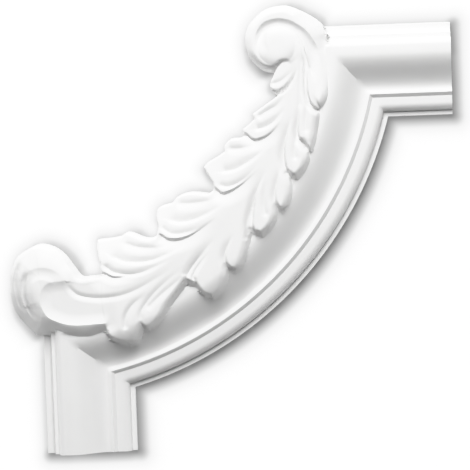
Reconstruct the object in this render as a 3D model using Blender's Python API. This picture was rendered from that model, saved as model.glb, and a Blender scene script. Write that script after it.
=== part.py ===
"""Moulding corner piece with an acanthus leaf, cast in one with a flat back.

Metres, +Z up. The wall is the plane y = 0 and the piece faces -Y. The plan, seen from the front, is
drawn about the centre of the moulding's arc. The finished piece is moved so that the origin is on its
flat back, in the middle of the band, half-way round the arc. Every point of the front has a height
above the wall, and the surface is a mesh of those heights over the plan.
"""

import math

import bpy
import bmesh
import numpy as np
from mathutils import Vector
from mathutils.geometry import delaunay_2d_cdt
from mathutils.kdtree import KDTree

# Run of the moulding on plan
LIP_RADIUS = 0.330          # arc of the lip, the low inner edge
BAND_WIDTH = 0.080          # from the lip to the outer edge
STUB_OFFSET = 0.088         # straight lips from the arc's centre
STUB_END = 0.374            # square ends from the arc's centre

# Section of the moulding: distances from the lip, and heights above the wall
LIP_WIDTH = 0.0042
LIP_HEIGHT = 0.0038
BEAD_TOP_AT = 0.0108
BEAD_HEIGHT = 0.0112
STEP_AT = 0.0166
STEP_RUN = 0.0030
COVE_EDGE_HEIGHT = 0.0136
COVE_LOW_AT = 0.0240
COVE_LOW_HEIGHT = 0.0120
COVE_LEAN = 0.95            # below 1, curves in an S are steepest near their start
CREST_AT = 0.0555
CREST_END = 0.0610
CREST_HEIGHT = 0.0275
FILLET_AT = 0.0672
FILLET_HEIGHT = 0.0180
FILLET_END = 0.0708
LAND_AT = 0.0745
LAND_HEIGHT = 0.0088
EDGE_RUN = 0.0012
EDGE_HEIGHT = 0.0020        # thinnest edge against the wall

# Leaf blade
LEAF_AXIS = 0.086           # its axis, from the lip
LEAF_HALF_WIDTH = 0.048     # from the axis to the longest lobes
LEAF_HEIGHT = 0.0350        # along the axis
OUTER_TIP_HEIGHT = 0.0200   # at the tips of the outer lobes
LEAF_THICKNESS = 0.0080     # where the inner lobes lie on the moulding
LOBE_EDGE = 0.0016          # rounding of the margin
SOFT_EDGE = 4.0             # times as wide on the upper sides of the inner lobes
OUTER_SLOPE = 45.0          # fall of the outer walls
SIDE_SLOPE = 3.2            # fall beside the inner lobes
TIP_SLOPE = 1.10            # fall under the tips of the inner lobes
TIPS_POINT = (0.25, -0.97)
EYE_EDGE = 0.25             # share of the eye's radius in which the volute's top sinks round it
GROOVE_DEPTH = 0.0025
GROOVE_WIDTH = 0.0055
GROOVE_ROUNDING = 0.0005
FADE_START = 0.3            # of the blade's grooves along their length, as shares of it
FADE_IN = 0.12
FADE_FROM = 0.25
SOFT_START = 0.25           # soft ends of the other grooves
SOFT_END = 0.8
ROOT_SINK = 0.0018          # of a curl's root, into the blade
ROOT_RUN = 0.0140

# Volute at the upper end, from the arc's centre
VOLUTE_X = 0.2264
VOLUTE_Z = -0.0214
VOLUTE_RADIUS = 0.0300
VOLUTE_HEIGHT = 0.0356
VOLUTE_EDGE = 0.0065        # rounding of the rim
VOLUTE_UNDER_DROP = 0.0080  # more drop below
VOLUTE_SIDE = 0.0140        # broad flank on the right
VOLUTE_SIDE_DROP = 0.0085
VOLUTE_LEAN = 0.0066        # sinking of the top from the eye to the right
VOLUTE_LEAN_RUN = 0.0260
EYE_X = 0.2243
EYE_Z = -0.0244
EYE_RADIUS = 0.0165
EYE_RISE = 0.0026
VOLUTE_TAIL = 0.045         # length in which the tail sinks to the blade
TONGUE_START = 1.4          # how soon along the tail the edge becomes a lobe's
VOLUTE_UNDER_RUN = 0.06     # run of the wall for its fall, more under the volute
SPIRAL_DEPTH = 0.0030
SPIRAL_OUTER = 0.0050
SPIRAL_INNER = 0.0044
FOLD_DEPTH = 0.0018         # of the fold that runs from it down the tongue
FOLD_OUTER = 0.0014
FOLD_INNER = 0.0022

# Scroll at the lower end, from the arc's centre
SCROLL_X = 0.0186
SCROLL_Z = -0.2285
SCROLL_RADIUS = 0.0320
SCROLL_HEIGHT = 0.0358
SCROLL_DISH = 0.0022        # hollow of its face
SCROLL_DISH_RUN = 0.0100
STEM_RUN = 0.0080           # in which the roll comes out of the stem
ROLL_LOW = 1.3              # fullness of the roll's section at the bottom, and at the top
ROLL_HIGH = 2.6
RING_DEPTH = 0.0010
RING_OUTER = 0.0050
RING_INNER = 0.0046
RIB_DEPTH = 0.0020
RIB_OUTER = 0.0026
RIB_INNER = 0.0022

# Facets
SECTION_STEPS = 3
FINE_SECTION_STEPS = 12
ARC_STEP = 0.018
STUB_STEP = 0.010
MARGIN_STEP = 0.0042
GROOVE_STEP = 0.0050
LATTICE_STEP = 0.0052
LAYERS = ()                 # more points beside the margins, at these distances
TRACE_STEP = 0.0015         # of the lines that heights are measured from
NEAR_LEAF = 1.4             # half widths from the leaf's axis, and radii from a curl, that may be on them
NEAR_CURL = 2.0
LOOSE_CLEARANCE = 0.35      # of loose points from others, in steps of the lattice
LATTICE_CLEARANCE = 0.6
HALVINGS = 16               # in the search for the foot of a wall
CLEAR_FOOT = 0.85           # least share of a foot's own wall that it is from the whole margin
WIDEST_WALL = 0.04
BATCH = 4000
WELD = 0.00002
SHARP_ANGLE = math.radians(35)
INSIDE, INSIDE_WITH_HOLES = 1, 2    # parts of a triangulation to keep

PLASTER_WHITE = (0.86, 0.86, 0.855, 1.0)
PLASTER_ROUGHNESS = 0.55

# Margin of the blade, lobe by lobe, in runs between sharp corners. Each point is a share of the arc,
# from the upper mitre to the lower one, and a reach from the leaf's axis in half widths.
OUTER_LOBES = [
    [(-0.119, 0.21), (-0.071, 0.34), (-0.041, 0.37)],
    [(-0.041, 0.37), (-0.024, 0.40), (-0.003, 0.38)],
    [(-0.003, 0.38), (0.010, 0.31), (0.019, 0.21)],
    [(0.019, 0.21), (0.034, 0.27), (0.068, 0.40), (0.112, 0.55)],
    [(0.112, 0.55), (0.130, 0.49)],
    [(0.130, 0.49), (0.152, 0.54), (0.181, 0.61)],
    [(0.181, 0.61), (0.194, 0.57), (0.203, 0.54)],
    [(0.203, 0.54), (0.221, 0.61), (0.240, 0.74), (0.275, 0.78)],
    [(0.275, 0.78), (0.294, 0.72)],
    [(0.294, 0.72), (0.328, 0.79), (0.367, 0.87), (0.396, 0.88)],
    [(0.396, 0.88), (0.408, 0.74), (0.419, 0.58)],
    [(0.419, 0.58), (0.429, 0.52), (0.443, 0.48)],
    [(0.443, 0.48), (0.469, 0.52), (0.491, 0.66), (0.521, 0.80), (0.561, 0.88), (0.583, 0.87)],
    [(0.583, 0.87), (0.601, 0.87), (0.643, 0.95), (0.664, 0.94)],
    [(0.664, 0.94), (0.685, 0.83), (0.697, 0.68)],
    [(0.697, 0.68), (0.710, 0.62), (0.725, 0.56)],
    [(0.725, 0.56), (0.752, 0.57), (0.780, 0.66), (0.806, 0.81), (0.830, 0.89), (0.853, 0.87)],
    [(0.853, 0.87), (0.895, 0.91), (0.954, 0.98)],
    [(0.954, 0.98), (0.966, 0.82), (0.970, 0.65), (0.970, 0.54)],
    [(0.970, 0.54), (0.976, 0.49), (0.977, 0.38)],
    [(0.977, 0.38), (1.000, 0.10), (1.012, -0.20), (1.018, -0.49)],
]
INNER_LOBES = [
    [(1.018, -0.49), (1.014, -0.71), (0.990, -0.86), (0.968, -0.94)],
    [(0.968, -0.94), (0.948, -0.95), (0.928, -0.84), (0.911, -0.71)],
    [(0.911, -0.71), (0.898, -0.80), (0.880, -0.79), (0.850, -0.72), (0.805, -0.56), (0.718, -0.36)],
    [(0.718, -0.36), (0.712, -0.45), (0.699, -0.53)],
    [(0.699, -0.53), (0.698, -0.75), (0.684, -0.88)],
    [(0.684, -0.88), (0.654, -0.89), (0.622, -0.79), (0.594, -0.63)],
    [(0.594, -0.63), (0.583, -0.75), (0.559, -0.77), (0.528, -0.68), (0.494, -0.57), (0.462, -0.48)],
    [(0.462, -0.48), (0.452, -0.56), (0.446, -0.66)],
    [(0.446, -0.66), (0.418, -0.69), (0.391, -0.68), (0.370, -0.64), (0.353, -0.59)],
    [(0.353, -0.59), (0.352, -0.69), (0.330, -0.71), (0.301, -0.67), (0.271, -0.58), (0.249, -0.47)],
    [(0.249, -0.47), (0.243, -0.52), (0.240, -0.60)],
    [(0.240, -0.60), (0.212, -0.65), (0.179, -0.65), (0.154, -0.58), (0.138, -0.46)],
    [(0.138, -0.46), (0.143, -0.54), (0.147, -0.63)],
    [(0.147, -0.63), (0.115, -0.62), (0.075, -0.58), (0.037, -0.55), (-0.011, -0.48), (-0.059, -0.35),
     (-0.120, -0.17)],
    [(-0.120, -0.17), (-0.166, -0.12), (-0.175, 0.05), (-0.119, 0.21)],
]

# Grooves of the blade, from the margin inwards. Each has its line, in shares and reaches, its depth, and
# the widths of the sides to its left and right.
OUTER_GROOVES = [
    ([(-0.016, 0.40), (-0.030, 0.24), (-0.065, 0.09), (-0.110, -0.02)], 0.4, 0.8, 0.8),
    ([(0.018, 0.34), (0.012, 0.20), (-0.010, 0.09), (-0.045, 0.01), (-0.100, -0.04)], 2.0, 0.9, 0.3),
    ([(0.119, 0.45), (0.085, 0.32), (0.052, 0.18), (-0.002, 0.05)], 0.7, 1.0, 1.0),
    ([(0.163, 0.40), (0.140, 0.25), (0.106, 0.13), (0.042, 0.01)], 0.9, 1.6, 0.5),
    ([(0.193, 0.56), (0.202, 0.34), (0.166, 0.14), (0.095, -0.01)], 1.4, 0.4, 1.8),
    ([(0.279, 0.70), (0.253, 0.50), (0.215, 0.29), (0.170, 0.13)], 0.8, 1.2, 1.2),
    ([(0.368, 0.57), (0.325, 0.38), (0.260, 0.21), (0.186, 0.06)], 1.0, 1.8, 0.5),
    ([(0.414, 0.47), (0.391, 0.29), (0.336, 0.15), (0.251, 0.05)], 0.7, 1.2, 0.5),
    ([(0.432, 0.50), (0.430, 0.30), (0.370, 0.14), (0.270, 0.00)], 1.5, 0.4, 2.0),
    ([(0.581, 0.80), (0.540, 0.63), (0.484, 0.43), (0.420, 0.27)], 0.9, 1.2, 1.4),
    ([(0.648, 0.67), (0.610, 0.48), (0.536, 0.31), (0.435, 0.16)], 1.1, 2.0, 0.5),
    ([(0.691, 0.66), (0.668, 0.43), (0.604, 0.24), (0.513, 0.12)], 0.7, 1.2, 0.5),
    ([(0.714, 0.57), (0.689, 0.35), (0.622, 0.19), (0.494, 0.09)], 1.5, 0.4, 2.0),
    ([(0.854, 0.75), (0.806, 0.55), (0.740, 0.37), (0.659, 0.25)], 0.9, 1.2, 1.4),
    ([(0.922, 0.64), (0.868, 0.41), (0.771, 0.22), (0.613, 0.10)], 1.1, 2.0, 0.5),
    ([(0.962, 0.53), (0.925, 0.31), (0.842, 0.13), (0.707, 0.07)], 0.9, 1.2, 0.5),
    ([(0.974, 0.39), (0.942, 0.25), (0.897, 0.18), (0.842, 0.13)], 1.1, 0.4, 1.2),
    ([(1.111, 0.35), (1.077, 0.12), (0.988, -0.05), (0.884, -0.11), (0.705, -0.08)], 0.6, 0.8, 0.8),
]
INNER_GROOVES = [
    ([(0.964, -0.71), (0.946, -0.48), (0.908, -0.32), (0.842, -0.26)], 0.7, 0.8, 1.2),
    ([(0.877, -0.51), (0.830, -0.41), (0.768, -0.34), (0.684, -0.29)], 0.5, 1.0, 1.0),
    ([(0.911, -0.71), (0.890, -0.48), (0.820, -0.28), (0.680, -0.16)], 0.5, 0.8, 0.8),
    ([(0.718, -0.36), (0.690, -0.28), (0.640, -0.20), (0.560, -0.12)], 0.9, 1.4, 0.6),
    ([(0.700, -0.52), (0.697, -0.42), (0.665, -0.32), (0.600, -0.22)], 1.2, 1.2, 0.6),
    ([(0.580, -0.80), (0.590, -0.71), (0.590, -0.60), (0.576, -0.48), (0.551, -0.39), (0.503, -0.30)],
     1.2, 1.2, 0.35),
    ([(0.495, -0.57), (0.467, -0.42), (0.427, -0.29), (0.362, -0.20)], 0.7, 1.0, 1.0),
    ([(0.463, -0.58), (0.452, -0.47), (0.427, -0.36), (0.401, -0.27), (0.355, -0.16), (0.269, -0.08)],
     1.6, 1.4, 0.35),
    ([(0.399, -0.56), (0.375, -0.41), (0.335, -0.26), (0.286, -0.18)], 0.5, 0.8, 0.8),
    ([(0.339, -0.75), (0.353, -0.69), (0.350, -0.59), (0.333, -0.48), (0.292, -0.37), (0.231, -0.28)],
     1.2, 1.2, 0.35),
    ([(0.254, -0.53), (0.238, -0.40), (0.218, -0.30), (0.189, -0.22), (0.150, -0.16), (0.060, -0.12)],
     1.6, 1.4, 0.35),
    ([(0.202, -0.49), (0.174, -0.40), (0.128, -0.32), (0.065, -0.22)], 0.6, 0.8, 0.8),
    ([(0.151, -0.63), (0.143, -0.51), (0.135, -0.39), (0.114, -0.31), (0.064, -0.24), (0.008, -0.19)],
     1.4, 1.2, 0.35),
    ([(0.110, -0.48), (0.072, -0.39), (0.025, -0.33), (-0.016, -0.26)], 0.5, 0.8, 0.8),
    ([(0.031, -0.61), (0.029, -0.49), (0.015, -0.37), (-0.016, -0.27), (-0.061, -0.21), (-0.120, -0.16)],
     2.0, 0.9, 0.35),
    ([(0.040, -0.24), (-0.044, -0.12), (-0.118, -0.07), (-0.185, 0.07)], 0.5, 0.6, 0.6),
]

# Curls of the volute and the scroll: turns in degrees and shares of the radius. The scroll's rim also has
# its height as a share of the scroll's.
VOLUTE_CURL = [
    (-74, 0.64), (-88, 0.75), (255, 0.81), (236, 0.87), (216, 0.90), (197, 0.94), (172, 0.97), (157, 0.99),
    (143, 1.00), (119, 1.02), (102, 1.04), (83, 1.07), (69, 1.09), (46, 1.14), (29, 1.27), (19, 1.35),
]
VOLUTE_TONGUE = [
    (-0.195, -0.50), (-0.143, -0.53), (-0.081, -0.58), (-0.027, -0.65), (0.005, -0.64), (0.026, -0.58),
]
VOLUTE_INSIDE = [(0.018, -0.45), (-0.002, -0.33), (-0.039, -0.25), (-0.087, -0.20)]
VOLUTE_SPIRAL = [
    (-41, 1.38), (-30, 1.15), (-16, 0.98), (-2, 0.83), (19, 0.69),
    (38, 0.59), (59, 0.54), (79, 0.52), (98, 0.52), (118, 0.53), (136, 0.54), (159, 0.52), (184, 0.50),
    (206, 0.49), (224, 0.50),
]
VOLUTE_FOLD = [(-62, 1.62), (-51, 1.19), (-33, 0.89), (-12, 0.68), (14, 0.55), (46, 0.49)]
SCROLL_LIP = [
    (30, 0.48), (58, 0.27), (88, 0.20), (136, 0.16), (178, 0.19), (214, 0.27), (237, 0.41), (254, 0.57),
    (265, 0.70), (277, 0.81), (296, 1.04), (309, 1.25), (320, 1.49), (328, 1.78),
]
STEM_BACK = [(0.90, -0.50), (0.80, -0.30), (0.80, 0.20), (0.97, 0.25), (1.05, 0.30)]
SCROLL_RIM = [
    (12, 1.52, 0.93), (14, 1.22, 0.93), (19, 0.88, 0.90), (42, 0.82, 0.85), (66, 0.95, 0.82),
    (86, 1.12, 0.79), (106, 1.25, 0.74), (130, 1.26, 0.68), (144, 1.22, 0.66), (159, 1.15, 0.62),
    (170, 1.11, 0.57), (185, 1.12, 0.49), (200, 1.15, 0.38), (213, 1.20, 0.27), (229, 1.24, 0.19),
    (242, 1.32, 0.18), (253, 1.37, 0.34), (276, 1.28, 0.70), (298, 1.48, 0.76), (311, 1.72, 0.77),
    (319, 1.91, 0.77),
]
SCROLL_ROOT = [(0.965, -0.63), (0.88, -0.35), (0.85, -0.16), (0.89, 0.10)]
SCROLL_RING = [
    (27, 0.41), (52, 0.38), (77, 0.41), (100, 0.46), (121, 0.53), (136, 0.58), (152, 0.61), (172, 0.59),
    (195, 0.61), (217, 0.68), (235, 0.77),
]
SCROLL_RIBS = [
    [(128, 1.12), (143, 1.03), (161, 0.95), (179, 0.90), (-159, 0.91), (-137, 0.95)],
    [(132, 0.82), (154, 0.73), (177, 0.70), (-163, 0.71), (-143, 0.76), (-126, 0.84), (-112, 0.94)],
]

MITRE = math.asin(STUB_OFFSET / LIP_RADIUS)
SPAN = math.pi / 2 - 2 * MITRE
ORIGIN = np.array([1.0, -1.0]) * (LIP_RADIUS - BAND_WIDTH / 2) / math.sqrt(2)


# Section of the moulding

def curve(start, end, shape, steps):
    """Points after the start of a curve: an ellipse quarter that climbs or runs first, or an S."""
    points = []
    for i in range(1, steps + 1):
        turn = i / steps * math.pi / 2
        run, rise = math.sin(turn), 1 - math.cos(turn)
        if shape == "climbs first":
            run, rise = rise, run
        if shape == "S":
            run, rise = i / steps, (1 - math.cos(math.pi * (i / steps) ** COVE_LEAN)) / 2
        points.append((start[0] + (end[0] - start[0]) * run, start[1] + (end[1] - start[1]) * rise))
    return points


def section(steps):
    lip = (LIP_WIDTH, LIP_HEIGHT)
    cove_edge = (STEP_AT + STEP_RUN, COVE_EDGE_HEIGHT)
    cove_low = (COVE_LOW_AT, COVE_LOW_HEIGHT)
    crest_end = (CREST_END, CREST_HEIGHT)
    fillet_end = (FILLET_END, FILLET_HEIGHT)
    points = [(0.0, LIP_HEIGHT), lip]
    points += curve(lip, (BEAD_TOP_AT, BEAD_HEIGHT), "climbs first", steps)
    points += [(STEP_AT, BEAD_HEIGHT), cove_edge]
    points += curve(cove_edge, cove_low, "S", steps - 1)
    points += curve(cove_low, (CREST_AT, CREST_HEIGHT), "S", 2 * steps)
    points += [crest_end]
    points += curve(crest_end, (FILLET_AT, FILLET_HEIGHT), "runs first", steps)
    points += [fillet_end]
    points += curve(fillet_end, (LAND_AT, LAND_HEIGHT), "climbs first", steps - 1)
    points += [(BAND_WIDTH - EDGE_RUN, LAND_HEIGHT), (BAND_WIDTH, EDGE_HEIGHT)]
    return np.array(points)


FINE_SECTION = section(FINE_SECTION_STEPS)


def lip_distance(x, z):
    """Distance in from the lip. Where two runs meet, the larger one gives the mitre."""
    return np.maximum.reduce([z + STUB_OFFSET, STUB_OFFSET - x, LIP_RADIUS - np.hypot(x, z)])


def moulding_height(x, z):
    inward = lip_distance(x, z)
    height = np.interp(inward, FINE_SECTION[:, 0], FINE_SECTION[:, 1])
    return np.where(inward > BAND_WIDTH, EDGE_HEIGHT, height)


# Lines on plan

def leaf_point(share, reach):
    angle = MITRE + share * SPAN
    radius = LIP_RADIUS - LEAF_AXIS - reach * LEAF_HALF_WIDTH
    return (radius * math.cos(angle), -radius * math.sin(angle))


def polar(x, z, radius, degrees):
    angle = math.radians(degrees)
    return (x + radius * math.cos(angle), z + radius * math.sin(angle))


def smooth_line(corners, step):
    """A curve through the corners, with a point about every step."""
    p = np.array(corners, float)
    ends = np.vstack([2 * p[0] - p[1], p, 2 * p[-1] - p[-2]])
    line = [p[:1]]
    for a, b, c, d in zip(ends, ends[1:], ends[2:], ends[3:]):
        count = max(1, round(np.linalg.norm(c - b) / step))
        t = (np.arange(1, count + 1) / count)[:, None]
        cubic = 2 * b + (c - a) * t + (2 * a - 5 * b + 4 * c - d) * t ** 2
        line.append((cubic + (3 * b - a - 3 * c + d) * t ** 3) / 2)
    return np.vstack(line)


def closed_margin(runs, step):
    return np.vstack([smooth_line(run, step)[:-1] for run in runs])


def outward(margin):
    """Unit normals of a closed margin, away from its inside."""
    before, after = np.roll(margin, 1, axis=0), np.roll(margin, -1, axis=0)
    ahead = after - before
    normal = np.column_stack([ahead[:, 1], -ahead[:, 0]]) / np.linalg.norm(ahead, axis=1)[:, None]
    area = np.sum(margin[:, 0] * after[:, 1] - after[:, 0] * margin[:, 1])
    return normal * np.sign(area)


class Trace:
    """A line that distances are measured from, with a value carried along it."""

    def __init__(self, points, values=None, closed=False):
        values = np.zeros(len(points)) if values is None else np.asarray(values)
        if closed:
            points, values = np.vstack([points, points[:1]]), np.append(values, values[0])
        self.start, self.step, self.values = points[:-1], np.diff(points, axis=0), values
        self.square = (self.step ** 2).sum(axis=1)

    def batches(self, x, z):
        """Some points at a time: the way to each from all pieces of the line, and each piece's share."""
        for first in range(0, len(x), BATCH):
            part = slice(first, first + BATCH)
            dx = x[part, None] - self.start[:, 0]
            dz = z[part, None] - self.start[:, 1]
            t = np.clip((dx * self.step[:, 0] + dz * self.step[:, 1]) / self.square, 0, 1)
            yield part, dx - t * self.step[:, 0], dz - t * self.step[:, 1], t

    def nearest(self, x, z):
        """Distance, side (+1 to the left of the line), share of the line, and value."""
        gap, side, along, value = np.zeros((4, len(x)))
        for part, away_x, away_z, t in self.batches(x, z):
            square = away_x ** 2 + away_z ** 2
            row, k = np.arange(len(square)), square.argmin(axis=1)
            gap[part], t = np.sqrt(square[row, k]), t[row, k]
            side[part] = np.sign(self.step[k, 0] * away_z[row, k] - self.step[k, 1] * away_x[row, k])
            along[part] = (k + t) / len(self.start)
            value[part] = self.values[k] * (1 - t) + self.values[k + 1] * t
        return gap, side, along, value

    def inside(self, x, z):
        """Whether each point is inside a closed line, by counting crossings."""
        found = np.zeros(len(x), bool)
        low, high = self.start[:, 1], self.start[:, 1] + self.step[:, 1]
        rise = np.where(self.step[:, 1] == 0, 1.0, self.step[:, 1])
        for first in range(0, len(x), BATCH):
            px, pz = x[first:first + BATCH, None], z[first:first + BATCH, None]
            crosses = (low > pz) != (high > pz)
            at = self.start[:, 0] + (pz - low) / rise * self.step[:, 0]
            found[first:first + BATCH] = (crosses & (px < at)).sum(axis=1) % 2 == 1
        return found


def softened(sizes):
    """Sizes round a closed margin, each averaged with its neighbours."""
    return sum(np.roll(sizes, shift) for shift in range(-2, 3)) / 5


def eased(t):
    """From 0 to 1 in an S, as t does."""
    t = np.clip(t, 0, 1)
    return t * t * (3 - 2 * t)


class Form:
    """A raised form: a top with a rounded edge inside its margin, and walls that fall away outside.

    Each piece of the margin has its own rounding and fall, and the lowest edge and highest wall count.
    Walls follow the moulding down, so that they end on it at about one distance all along.
    """

    def __init__(self, runs, top, edge, fall, root=None):
        self.runs, self.top, self.fall = runs, top, fall
        self.root = Trace(np.array(root)) if root else None
        margin = closed_margin(runs, TRACE_STEP)
        self.width, self.drop, self.flare = (softened(sizes) for sizes in edge(*margin.T, outward(margin).T))
        self.base = moulding_height(*margin.T)
        self.trace = Trace(margin, self.sunken_top(*margin.T) - self.drop, closed=True)

    def sunken_top(self, x, z):
        """The top, which sinks a little into the blade at the root of a curl."""
        if not self.root:
            return self.top(x, z)
        sunk = 1 - eased(self.root.nearest(x, z)[0] / ROOT_RUN)
        off_eye = np.hypot(x - EYE_X, z - EYE_Z) / EYE_RADIUS - 1
        return self.top(x, z) - ROOT_SINK * sunk * eased(off_eye / EYE_EDGE)

    def height(self, x, z):
        inside = self.trace.inside(x, z)
        height = np.zeros(len(x))
        for part, away_x, away_z, t in self.trace.batches(x[inside], z[inside]):
            near = np.clip(1 - np.hypot(away_x, away_z) / self.width, 0, 1)
            edge = near ** 2 + (eased(near) - near ** 2) * self.flare
            numbers = np.flatnonzero(inside)[part]
            height[numbers] = self.sunken_top(x[numbers], z[numbers]) - (self.drop * edge).max(axis=1)
        for part, away_x, away_z, t in self.trace.batches(x[~inside], z[~inside]):
            level = self.trace.values[:-1] * (1 - t) + self.trace.values[1:] * t
            numbers = np.flatnonzero(~inside)[part]
            lower = np.minimum(moulding_height(x[numbers], z[numbers])[:, None] - self.base, 0)
            walls = level + lower - self.fall(self.trace.start, away_x, away_z)
            height[numbers] = walls.max(axis=1)
        return height


# Leaf blade

def blade_top(x, z):
    """The inner half lies on the moulding, and the outer half sinks towards its tips."""
    inward = LIP_RADIUS - np.hypot(x, z)
    draped = np.interp(inward, FINE_SECTION[:, 0], FINE_SECTION[:, 1]) + LEAF_THICKNESS
    out = np.clip((inward - LEAF_AXIS) / LEAF_HALF_WIDTH, 0, None)
    free = LEAF_HEIGHT - (LEAF_HEIGHT - OUTER_TIP_HEIGHT) * out ** 2
    across = eased((inward - CREST_AT) / (LEAF_AXIS - CREST_AT))
    crest = CREST_HEIGHT + LEAF_THICKNESS
    return np.where(inward < CREST_AT, draped, crest * (1 - across) + free * across)


def blade_edge(x, z, out):
    """Width and drop of the edge: crisp, but soft on the upper sides of the inner lobes. No flare."""
    inner = LIP_RADIUS - np.hypot(x, z) < LEAF_AXIS
    upper = np.where(inner, np.clip(TIPS_POINT[0] * out[1] - TIPS_POINT[1] * out[0], 0, 1) ** 2, 0)
    return LOBE_EDGE * (1 + (SOFT_EDGE - 1) * upper), LOBE_EDGE * (1 + upper), np.zeros(len(x))


def inner_fall(away_x, away_z):
    """Walls on the moulding are steep at the sides, and gentler under tips, which point down."""
    gap = np.maximum(np.hypot(away_x, away_z), WELD)
    down = np.clip(TIPS_POINT[0] * away_x + TIPS_POINT[1] * away_z, 0, None)
    return SIDE_SLOPE * gap + (TIP_SLOPE - SIDE_SLOPE) * down ** 2 / gap


def blade_fall(start, away_x, away_z):
    inner = LIP_RADIUS - np.hypot(*start.T) < LEAF_AXIS
    return np.where(inner, inner_fall(away_x, away_z), OUTER_SLOPE * np.hypot(away_x, away_z))


def blade():
    runs = [[leaf_point(*corner) for corner in run] for run in OUTER_LOBES + INNER_LOBES]
    return Form(runs, blade_top, blade_edge, blade_fall, [leaf_point(*corner) for corner in OUTER_LOBES[-1]])


# Volute, with the tongue that comes down beside the blade

def volute_point(degrees, share):
    return polar(VOLUTE_X, VOLUTE_Z, VOLUTE_RADIUS * share, degrees)


def tail_share(x, z):
    return np.clip((EYE_Z - EYE_RADIUS / 2 - z) / VOLUTE_TAIL, 0, 1)


def volute_top(x, z):
    down = tail_share(x, z)
    from_eye = np.hypot(x - EYE_X, z - EYE_Z) / EYE_RADIUS
    eye = EYE_RISE * np.clip(1 - from_eye ** 4, 0, 1)
    high = VOLUTE_HEIGHT - VOLUTE_LEAN * eased((x - EYE_X - EYE_RADIUS) / VOLUTE_LEAN_RUN)
    return high * (1 - down) + (CREST_HEIGHT + LEAF_THICKNESS) * down + eye


def volute_edge(x, z, out):
    """Round at the curl and deeper below, level with the moulding on the right, and crisp at the tip."""
    tip = eased(TONGUE_START * tail_share(x, z))
    tip = np.where((x > EYE_X + EYE_RADIUS / 2) & (z < EYE_Z) & (out[0] < 0), 1, tip)
    size = VOLUTE_EDGE * (1 - tip) + LOBE_EDGE * tip
    drop = size + VOLUTE_UNDER_DROP * np.clip(-out[1], 0, 1) ** 2 * (1 - tip)
    side = np.maximum(np.clip(out[0], 0, 1) ** 2, eased((x - EYE_X - EYE_RADIUS) / VOLUTE_SIDE))
    ground = np.where(z > VOLUTE_Z, CREST_HEIGHT, moulding_height(x, z))
    level = np.clip(volute_top(x, z) - ground, LOBE_EDGE, VOLUTE_SIDE_DROP)
    return size + (VOLUTE_SIDE * (1 - tip / 2) - size) * side, drop + (level - drop) * side, side * (1 - tip)


def volute_fall(start, away_x, away_z):
    """Steep round the curl, less so under it. The tongue falls as the lobes do."""
    gap = np.maximum(np.hypot(away_x, away_z), WELD)
    run = 1 / OUTER_SLOPE + VOLUTE_UNDER_RUN * np.clip(-away_z / gap, 0, 1) ** 2
    inward = LIP_RADIUS - np.hypot(*start.T)
    on_moulding = (inward < CREST_AT + LAND_AT - CREST_END) & (start[:, 1] < VOLUTE_Z)
    return np.where(on_moulding, inner_fall(away_x, away_z), gap / run)


def volute():
    curl = [volute_point(*turn) for turn in VOLUTE_CURL]
    right = curl[-1:] + [leaf_point(*corner) for corner in VOLUTE_TONGUE]
    left = right[-1:] + [leaf_point(*corner) for corner in VOLUTE_INSIDE]
    root = [left[-1], curl[0]]
    return Form([curl, right, left, root], volute_top, volute_edge, volute_fall, root)


# Stem and scroll at the lower end

def scroll_point(degrees, share):
    return polar(SCROLL_X, SCROLL_Z, SCROLL_RADIUS * share, degrees)


def scroll_line(turns, step):
    return smooth_line([scroll_point(*turn) for turn in turns], step)


def scroll_face():
    """The lip of the flat face, and the outline of the face."""
    lip = scroll_line(SCROLL_LIP, TRACE_STEP)
    back = [leaf_point(*corner) for corner in STEM_BACK]
    return Trace(lip), Trace(np.vstack([lip, back]), closed=True)


LIP, FACE = scroll_face()
RIM = Trace(scroll_line([turn[:2] for turn in SCROLL_RIM], TRACE_STEP))
RIM.values = np.interp(np.linspace(0, 1, len(RIM.start) + 1), np.linspace(0, 1, len(SCROLL_RIM)),
                       [turn[2] * SCROLL_HEIGHT for turn in SCROLL_RIM])


def scroll_upper(z):
    """From 0 in the lower half of the scroll to 1 in its upper half."""
    return np.clip(0.5 + (z - SCROLL_Z) / SCROLL_RADIUS, 0, 1)


def scroll_top(x, z):
    """The face is dished from its lip. From there the roll falls to the rim, sooner on the lower side."""
    from_lip = LIP.nearest(x, z)[0]
    dished = SCROLL_DISH * (1 - np.clip(1 - from_lip / SCROLL_DISH_RUN, 0, 1) ** 2)
    to_rim, _, _, low = RIM.nearest(x, z)
    share = from_lip / np.maximum(from_lip + to_rim, WELD)
    fallen = (SCROLL_HEIGHT - low) * share ** (ROLL_LOW + (ROLL_HIGH - ROLL_LOW) * scroll_upper(z))
    stem = eased((x - LIP.start[0, 0]) / STEM_RUN) * scroll_upper(z)
    return SCROLL_HEIGHT - np.where(FACE.inside(x, z), dished, fallen * (1 - stem) + dished * stem)


def scroll_edge(x, z, out):
    return LOBE_EDGE * (1 + scroll_upper(z)), LOBE_EDGE * scroll_upper(z), np.zeros(len(x))


def scroll_fall(start, away_x, away_z):
    return OUTER_SLOPE * np.hypot(away_x, away_z)


def scroll():
    rim = [scroll_point(*turn[:2]) for turn in SCROLL_RIM]
    root = [rim[-1]] + [leaf_point(*corner) for corner in SCROLL_ROOT] + [rim[0]]
    return Form([rim, root], scroll_top, scroll_edge, scroll_fall, root)


# Grooves

def leaf_groove(corners, step):
    return smooth_line([leaf_point(*corner) for corner in corners], step)


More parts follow.
